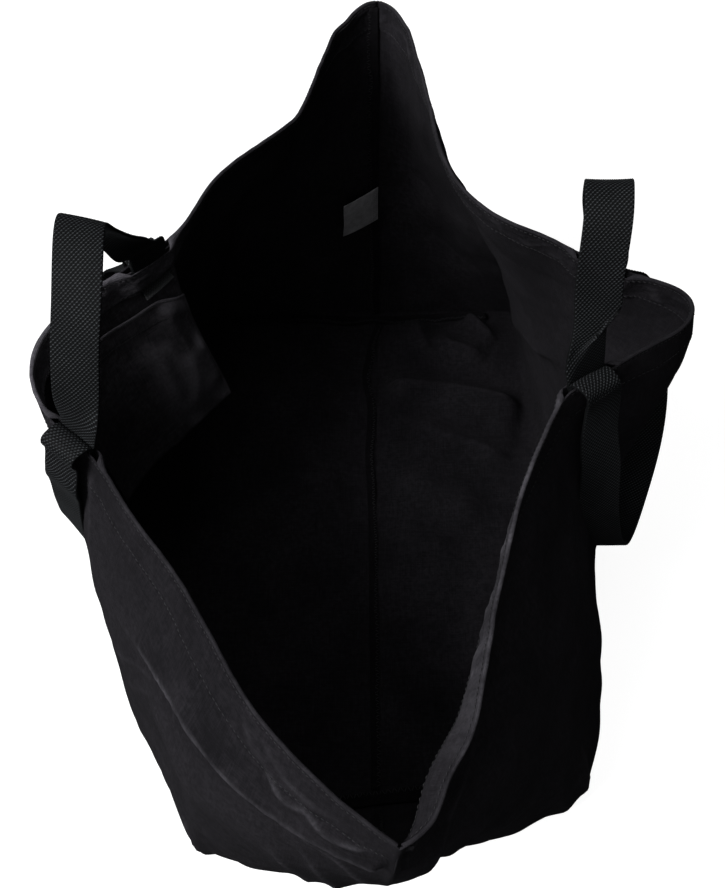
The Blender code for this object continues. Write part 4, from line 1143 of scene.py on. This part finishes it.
def short_handle(side):
    ends = []
    for end in (0, 1):
        e = float(packing(side, U_ATTACH[side][end]))
        ends.append((A_SHORT - e, 1.25 * lean(side, end) * (TAB_DEPTH - HEM)))
    near = local(side, U_ATTACH[side][0], ends[0][0], SHORT_PIVOT)
    far = local(side, U_ATTACH[side][1], ends[1][0], SHORT_PIVOT)
    n0 = local(side, U_ATTACH[side][0], ends[0][0], 0)
    f0 = local(side, U_ATTACH[side][1], ends[1][0], 0)
    pts = [n0, near + (0, 0, 5)] + [np.array(p, float) for p in SHORT_PATH[side]] + [far + (0, 0, 5), f0]
    c, w = free_part(side, pts, (.16, .42) if side == 'left' else .16, (-1, .16, .15) if side == 'left' else (1, 0, 0))
    d = np.r_[0, np.cumsum(np.linalg.norm(np.diff(c, axis=0), axis=1))]
    n = int(round(d[-1] / STEP))
    t = np.arange(n + 1) * d[-1] / n
    C = np.stack([np.interp(t, d, c[:, i]) for i in range(3)], 1)
    Wd = np.stack([np.interp(t, d, w[:, i]) for i in range(3)], 1)
    # soft twist of the standing webbing, from the blended width directions
    G2 = centre_grid(C, Wd)
    bn, bf = t, t[-1] - t
    # the standing webbing leaves the plane of the rim along a slanting crease
    cn, cf = CREASE[side]
    slant = .5 + ACROSS[None] / WEB
    tn = smooth((bn[:, None] - 1 - cn * (slant if side == 'right' else 1 - slant)) / 14)
    tf = smooth((bf[:, None] - 2) / 26) + 0 * slant
    G = G2.copy()
    m = bn < cn + 16
    G[m] = G2[m] * tn[m, :, None] + sewn(side, 0, np.full(m.sum(), ends[0][0]), bn[m]) * (1 - tn[m, :, None])
    m = bf < 30
    G[m] = G2[m] * tf[m, :, None] + sewn(side, 1, np.full(m.sum(), ends[1][0]), bf[m]) * (1 - tf[m, :, None])
    rows = np.arange(1, int(TAB_DEPTH / STEP) + 1) * STEP

    def below(end):
        a0, k = ends[end]
        a = a0 - k * np.clip((rows - HEM) / (TAB_DEPTH - HEM), 0, 1)
        return sewn(side, end, a, -rows)
    G = np.concatenate([below(0)[::-1], G, below(1)])
    body = 'short_handle_' + side
    ob = woven('webbing_short_' + side, G, 0.0, body, [body, body + '_end_near', body + '_end_far'])
    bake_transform(ob)
    return ob, G


def long_strap(side):
    body = 'long_strap_' + side
    ends = []
    for end in (0, 1):
        e = float(packing(side, U_ATTACH[side][end]))
        ends.append((A_LONG - e, 1.25 * lean(side, end) * (TAB_DEPTH - HEM), A_OUT - e))
    out = np.array([-1.0 if side == 'left' else 1.0, 0, 0])
    # the webbing stands off where it turns over the rim: by PUFF mm beyond the sewn fold
    puff = PUFF[side]
    arc = ARC[side]
    start = [local(side, U_ATTACH[side][e], ends[e][2], arc[e][1] + arc[e][0] * math.sin(ARC_TO)) for e in (0, 1)]
    shape_ = [[(x, y if e == 0 else y - .6) for x, y in LIP[side]] for e in (0, 1)]
    lip = [[local(side, U_ATTACH[side][e], ends[e][2] + puff[e] * x, y) for x, y in shape_[e]] for e in (0, 1)]
    near, far = start
    pts = [near] + lip[0] + [np.array(p, float) for p in LONG_PATH[side]] + lip[1][::-1] + [far]
    c, w = free_part(side, pts, TURN[side], MID[side])
    d = np.r_[0, np.cumsum(np.linalg.norm(np.diff(c, axis=0), axis=1))]
    n = int(round(d[-1] / STEP))
    t = np.arange(n + 1) * d[-1] / n
    C = np.stack([np.interp(t, d, c[:, i]) for i in range(3)], 1)
    Wd = np.stack([np.interp(t, d, w[:, i]) for i in range(3)], 1)
    G2 = centre_grid(C, Wd)
    tn, tf = smooth((t - 2) / 16), smooth((t[-1] - t - 2) / 16)
    G = G2.copy()
    bf = t[-1] - t

    def lip_rows(end, d):
        z = [(ends[end][2], arc[end][1] + arc[end][0] * math.sin(ARC_TO))]
        z = z + [(ends[end][2] + puff[end] * x, y) for x, y in shape_[end] + [(shape_[end][-1][0], -22.0)]]
        f, ln = cubic(z)
        r = f(np.minimum(d, ln))
        return sewn(side, end, r[:, 0], r[:, 1])
    m = t < 19
    G[m] = G2[m] * tn[m, None, None] + lip_rows(0, t[m]) * (1 - tn[m, None, None])
    m = bf < 19
    G[m] = G2[m] * tf[m, None, None] + lip_rows(1, bf[m]) * (1 - tf[m, None, None])
    arc_n = int(round(ARC_TO * FOLD_R * 1.15 / STEP))
    th = np.linspace(0, ARC_TO, arc_n + 1)
    rows = np.arange(int(TAB_DEPTH / STEP), -1, -1) * STEP - 0.0
    first = None
    for end, word in ((0, 'near'), (1, 'far')):
        a0, k, a2 = ends[end]
        a = a0 - k * np.clip((rows - HEM) / (TAB_DEPTH - HEM), 0, 1)
        aa = np.r_[a, a0, a0 + 2 * FOLD_R * (1 - np.cos(th[1:])) / (1 - math.cos(ARC_TO))]
        bb = np.r_[-rows, arc[end][1], arc[end][1] + arc[end][0] * np.sin(th[1:])]
        g = sewn(side, end, aa, bb)
        if end == 1:
            g = g[::-1]
            s0 = len(first) * STEP + (n) * STEP
        else:
            first = g
            s0 = 0.0
        piece = woven('webbing_long_%s_%s' % (side, word), g, s0, 'bag', [body + '_end_' + word], (end == 0, end == 1))
        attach(piece, 'bag')
    ob = woven('webbing_long_' + side, G, (len(first) - 1) * STEP, body, [body], (False, False))
    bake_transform(ob)
    return ob, G


for s in SIDES:
    short_handle(s)
    long_strap(s)


# ------------------------------------------------------------------ floor, light and camera
def stage():
    me = bpy.data.meshes.new('floor')
    me.from_pydata([(-4, -4, -.0006), (4, -4, -.0006), (4, 4, -.0006), (-4, 4, -.0006)], [], [(0, 1, 2, 3)])
    ob = bpy.data.objects.new('floor', me)
    bpy.context.scene.collection.objects.link(ob)
    m = bpy.data.materials.new('pale_floor')
    m.use_nodes = True
    nt = m.node_tree
    nt.nodes.clear()
    out = nt.nodes.new('ShaderNodeOutputMaterial')
    seen = nt.nodes.new('ShaderNodeEmission')
    seen.inputs['Color'].default_value = (1, 1, 1, 1)
    seen.inputs['Strength'].default_value = .93
    dif = nt.nodes.new('ShaderNodeBsdfDiffuse')
    dif.inputs['Color'].default_value = (.34, .34, .34, 1)
    add = nt.nodes.new('ShaderNodeAddShader')
    path = nt.nodes.new('ShaderNodeLightPath')
    mix = nt.nodes.new('ShaderNodeMixShader')
    grey = nt.nodes.new('ShaderNodeBsdfDiffuse')
    grey.inputs['Color'].default_value = (.10, .10, .105, 1)
    nt.links.new(seen.outputs[0], add.inputs[0])
    nt.links.new(dif.outputs[0], add.inputs[1])
    nt.links.new(path.outputs['Is Camera Ray'], mix.inputs[0])
    nt.links.new(grey.outputs[0], mix.inputs[1])
    nt.links.new(add.outputs[0], mix.inputs[2])
    nt.links.new(mix.outputs[0], out.inputs['Surface'])
    me.materials.append(m)

    world = bpy.data.worlds.new('studio')
    bpy.context.scene.world = world
    world.use_nodes = True
    wt = world.node_tree
    wt.nodes.clear()
    wo = wt.nodes.new('ShaderNodeOutputWorld')
    amb = wt.nodes.new('ShaderNodeBackground')
    amb.inputs['Color'].default_value = (1, 1, 1, 1)
    amb.inputs['Strength'].default_value = .022
    white = wt.nodes.new('ShaderNodeBackground')
    white.inputs['Strength'].default_value = 1.0
    lp = wt.nodes.new('ShaderNodeLightPath')
    mx = wt.nodes.new('ShaderNodeMixShader')
    wt.links.new(lp.outputs['Is Camera Ray'], mx.inputs[0])
    wt.links.new(amb.outputs[0], mx.inputs[1])
    wt.links.new(white.outputs[0], mx.inputs[2])
    wt.links.new(mx.outputs[0], wo.inputs['Surface'])

    def area(name, pos, aim, size, energy, sy=None, color=(1, 1, 1)):
        li = bpy.data.lights.new(name, 'AREA')
        li.shape = 'RECTANGLE'
        li.size, li.size_y = size, sy or size
        li.energy = energy
        li.color = color
        o = bpy.data.objects.new(name, li)
        o.location = pos
        o.rotation_euler = (Vector(aim) - Vector(pos)).to_track_quat('-Z', 'Y').to_euler()
        bpy.context.scene.collection.objects.link(o)

    area('key_left_high', (-1.45, -.8, 2.0), (0, 0, .2), 1.15, 76)
    area('top', (-.3, 0, 2.4), (0, 0, .2), 1.3, 9)
    area('front', (0, -2.0, 1.6), (0, 0, .2), 1.3, 4.5)
    area('top_right', (.9, -.2, 2.2), (0, 0, .2), 1.3, 1.0)


def camera():
    e, psi, roll = math.radians(57.5), math.radians(.2), math.radians(-.2)
    fwd = np.array([math.sin(psi) * math.cos(e), math.cos(psi) * math.cos(e), -math.sin(e)])
    r0 = np.array([math.cos(psi), -math.sin(psi), 0.])
    u0 = np.cross(r0, fwd)
    R = r0 * math.cos(roll) + u0 * math.sin(roll)
    U = -r0 * math.sin(roll) + u0 * math.cos(roll)
    cam = bpy.data.cameras.new('camera')
    cam.sensor_width, cam.sensor_fit = 36.0, 'AUTO'
    cam.lens = 1192 / 888 * 36
    cam.clip_start, cam.clip_end = .02, 50
    ob = bpy.data.objects.new('camera', cam)
    ob.matrix_world = Matrix(((R[0], U[0], -fwd[0], -.00523), (R[1], U[1], -fwd[1], -.42093), (R[2], U[2], -fwd[2], .841), (0, 0, 0, 1)))
    bpy.context.scene.collection.objects.link(ob)
    bpy.context.scene.camera = ob
    bpy.context.scene.view_settings.view_transform = 'Standard'


stage()
camera()
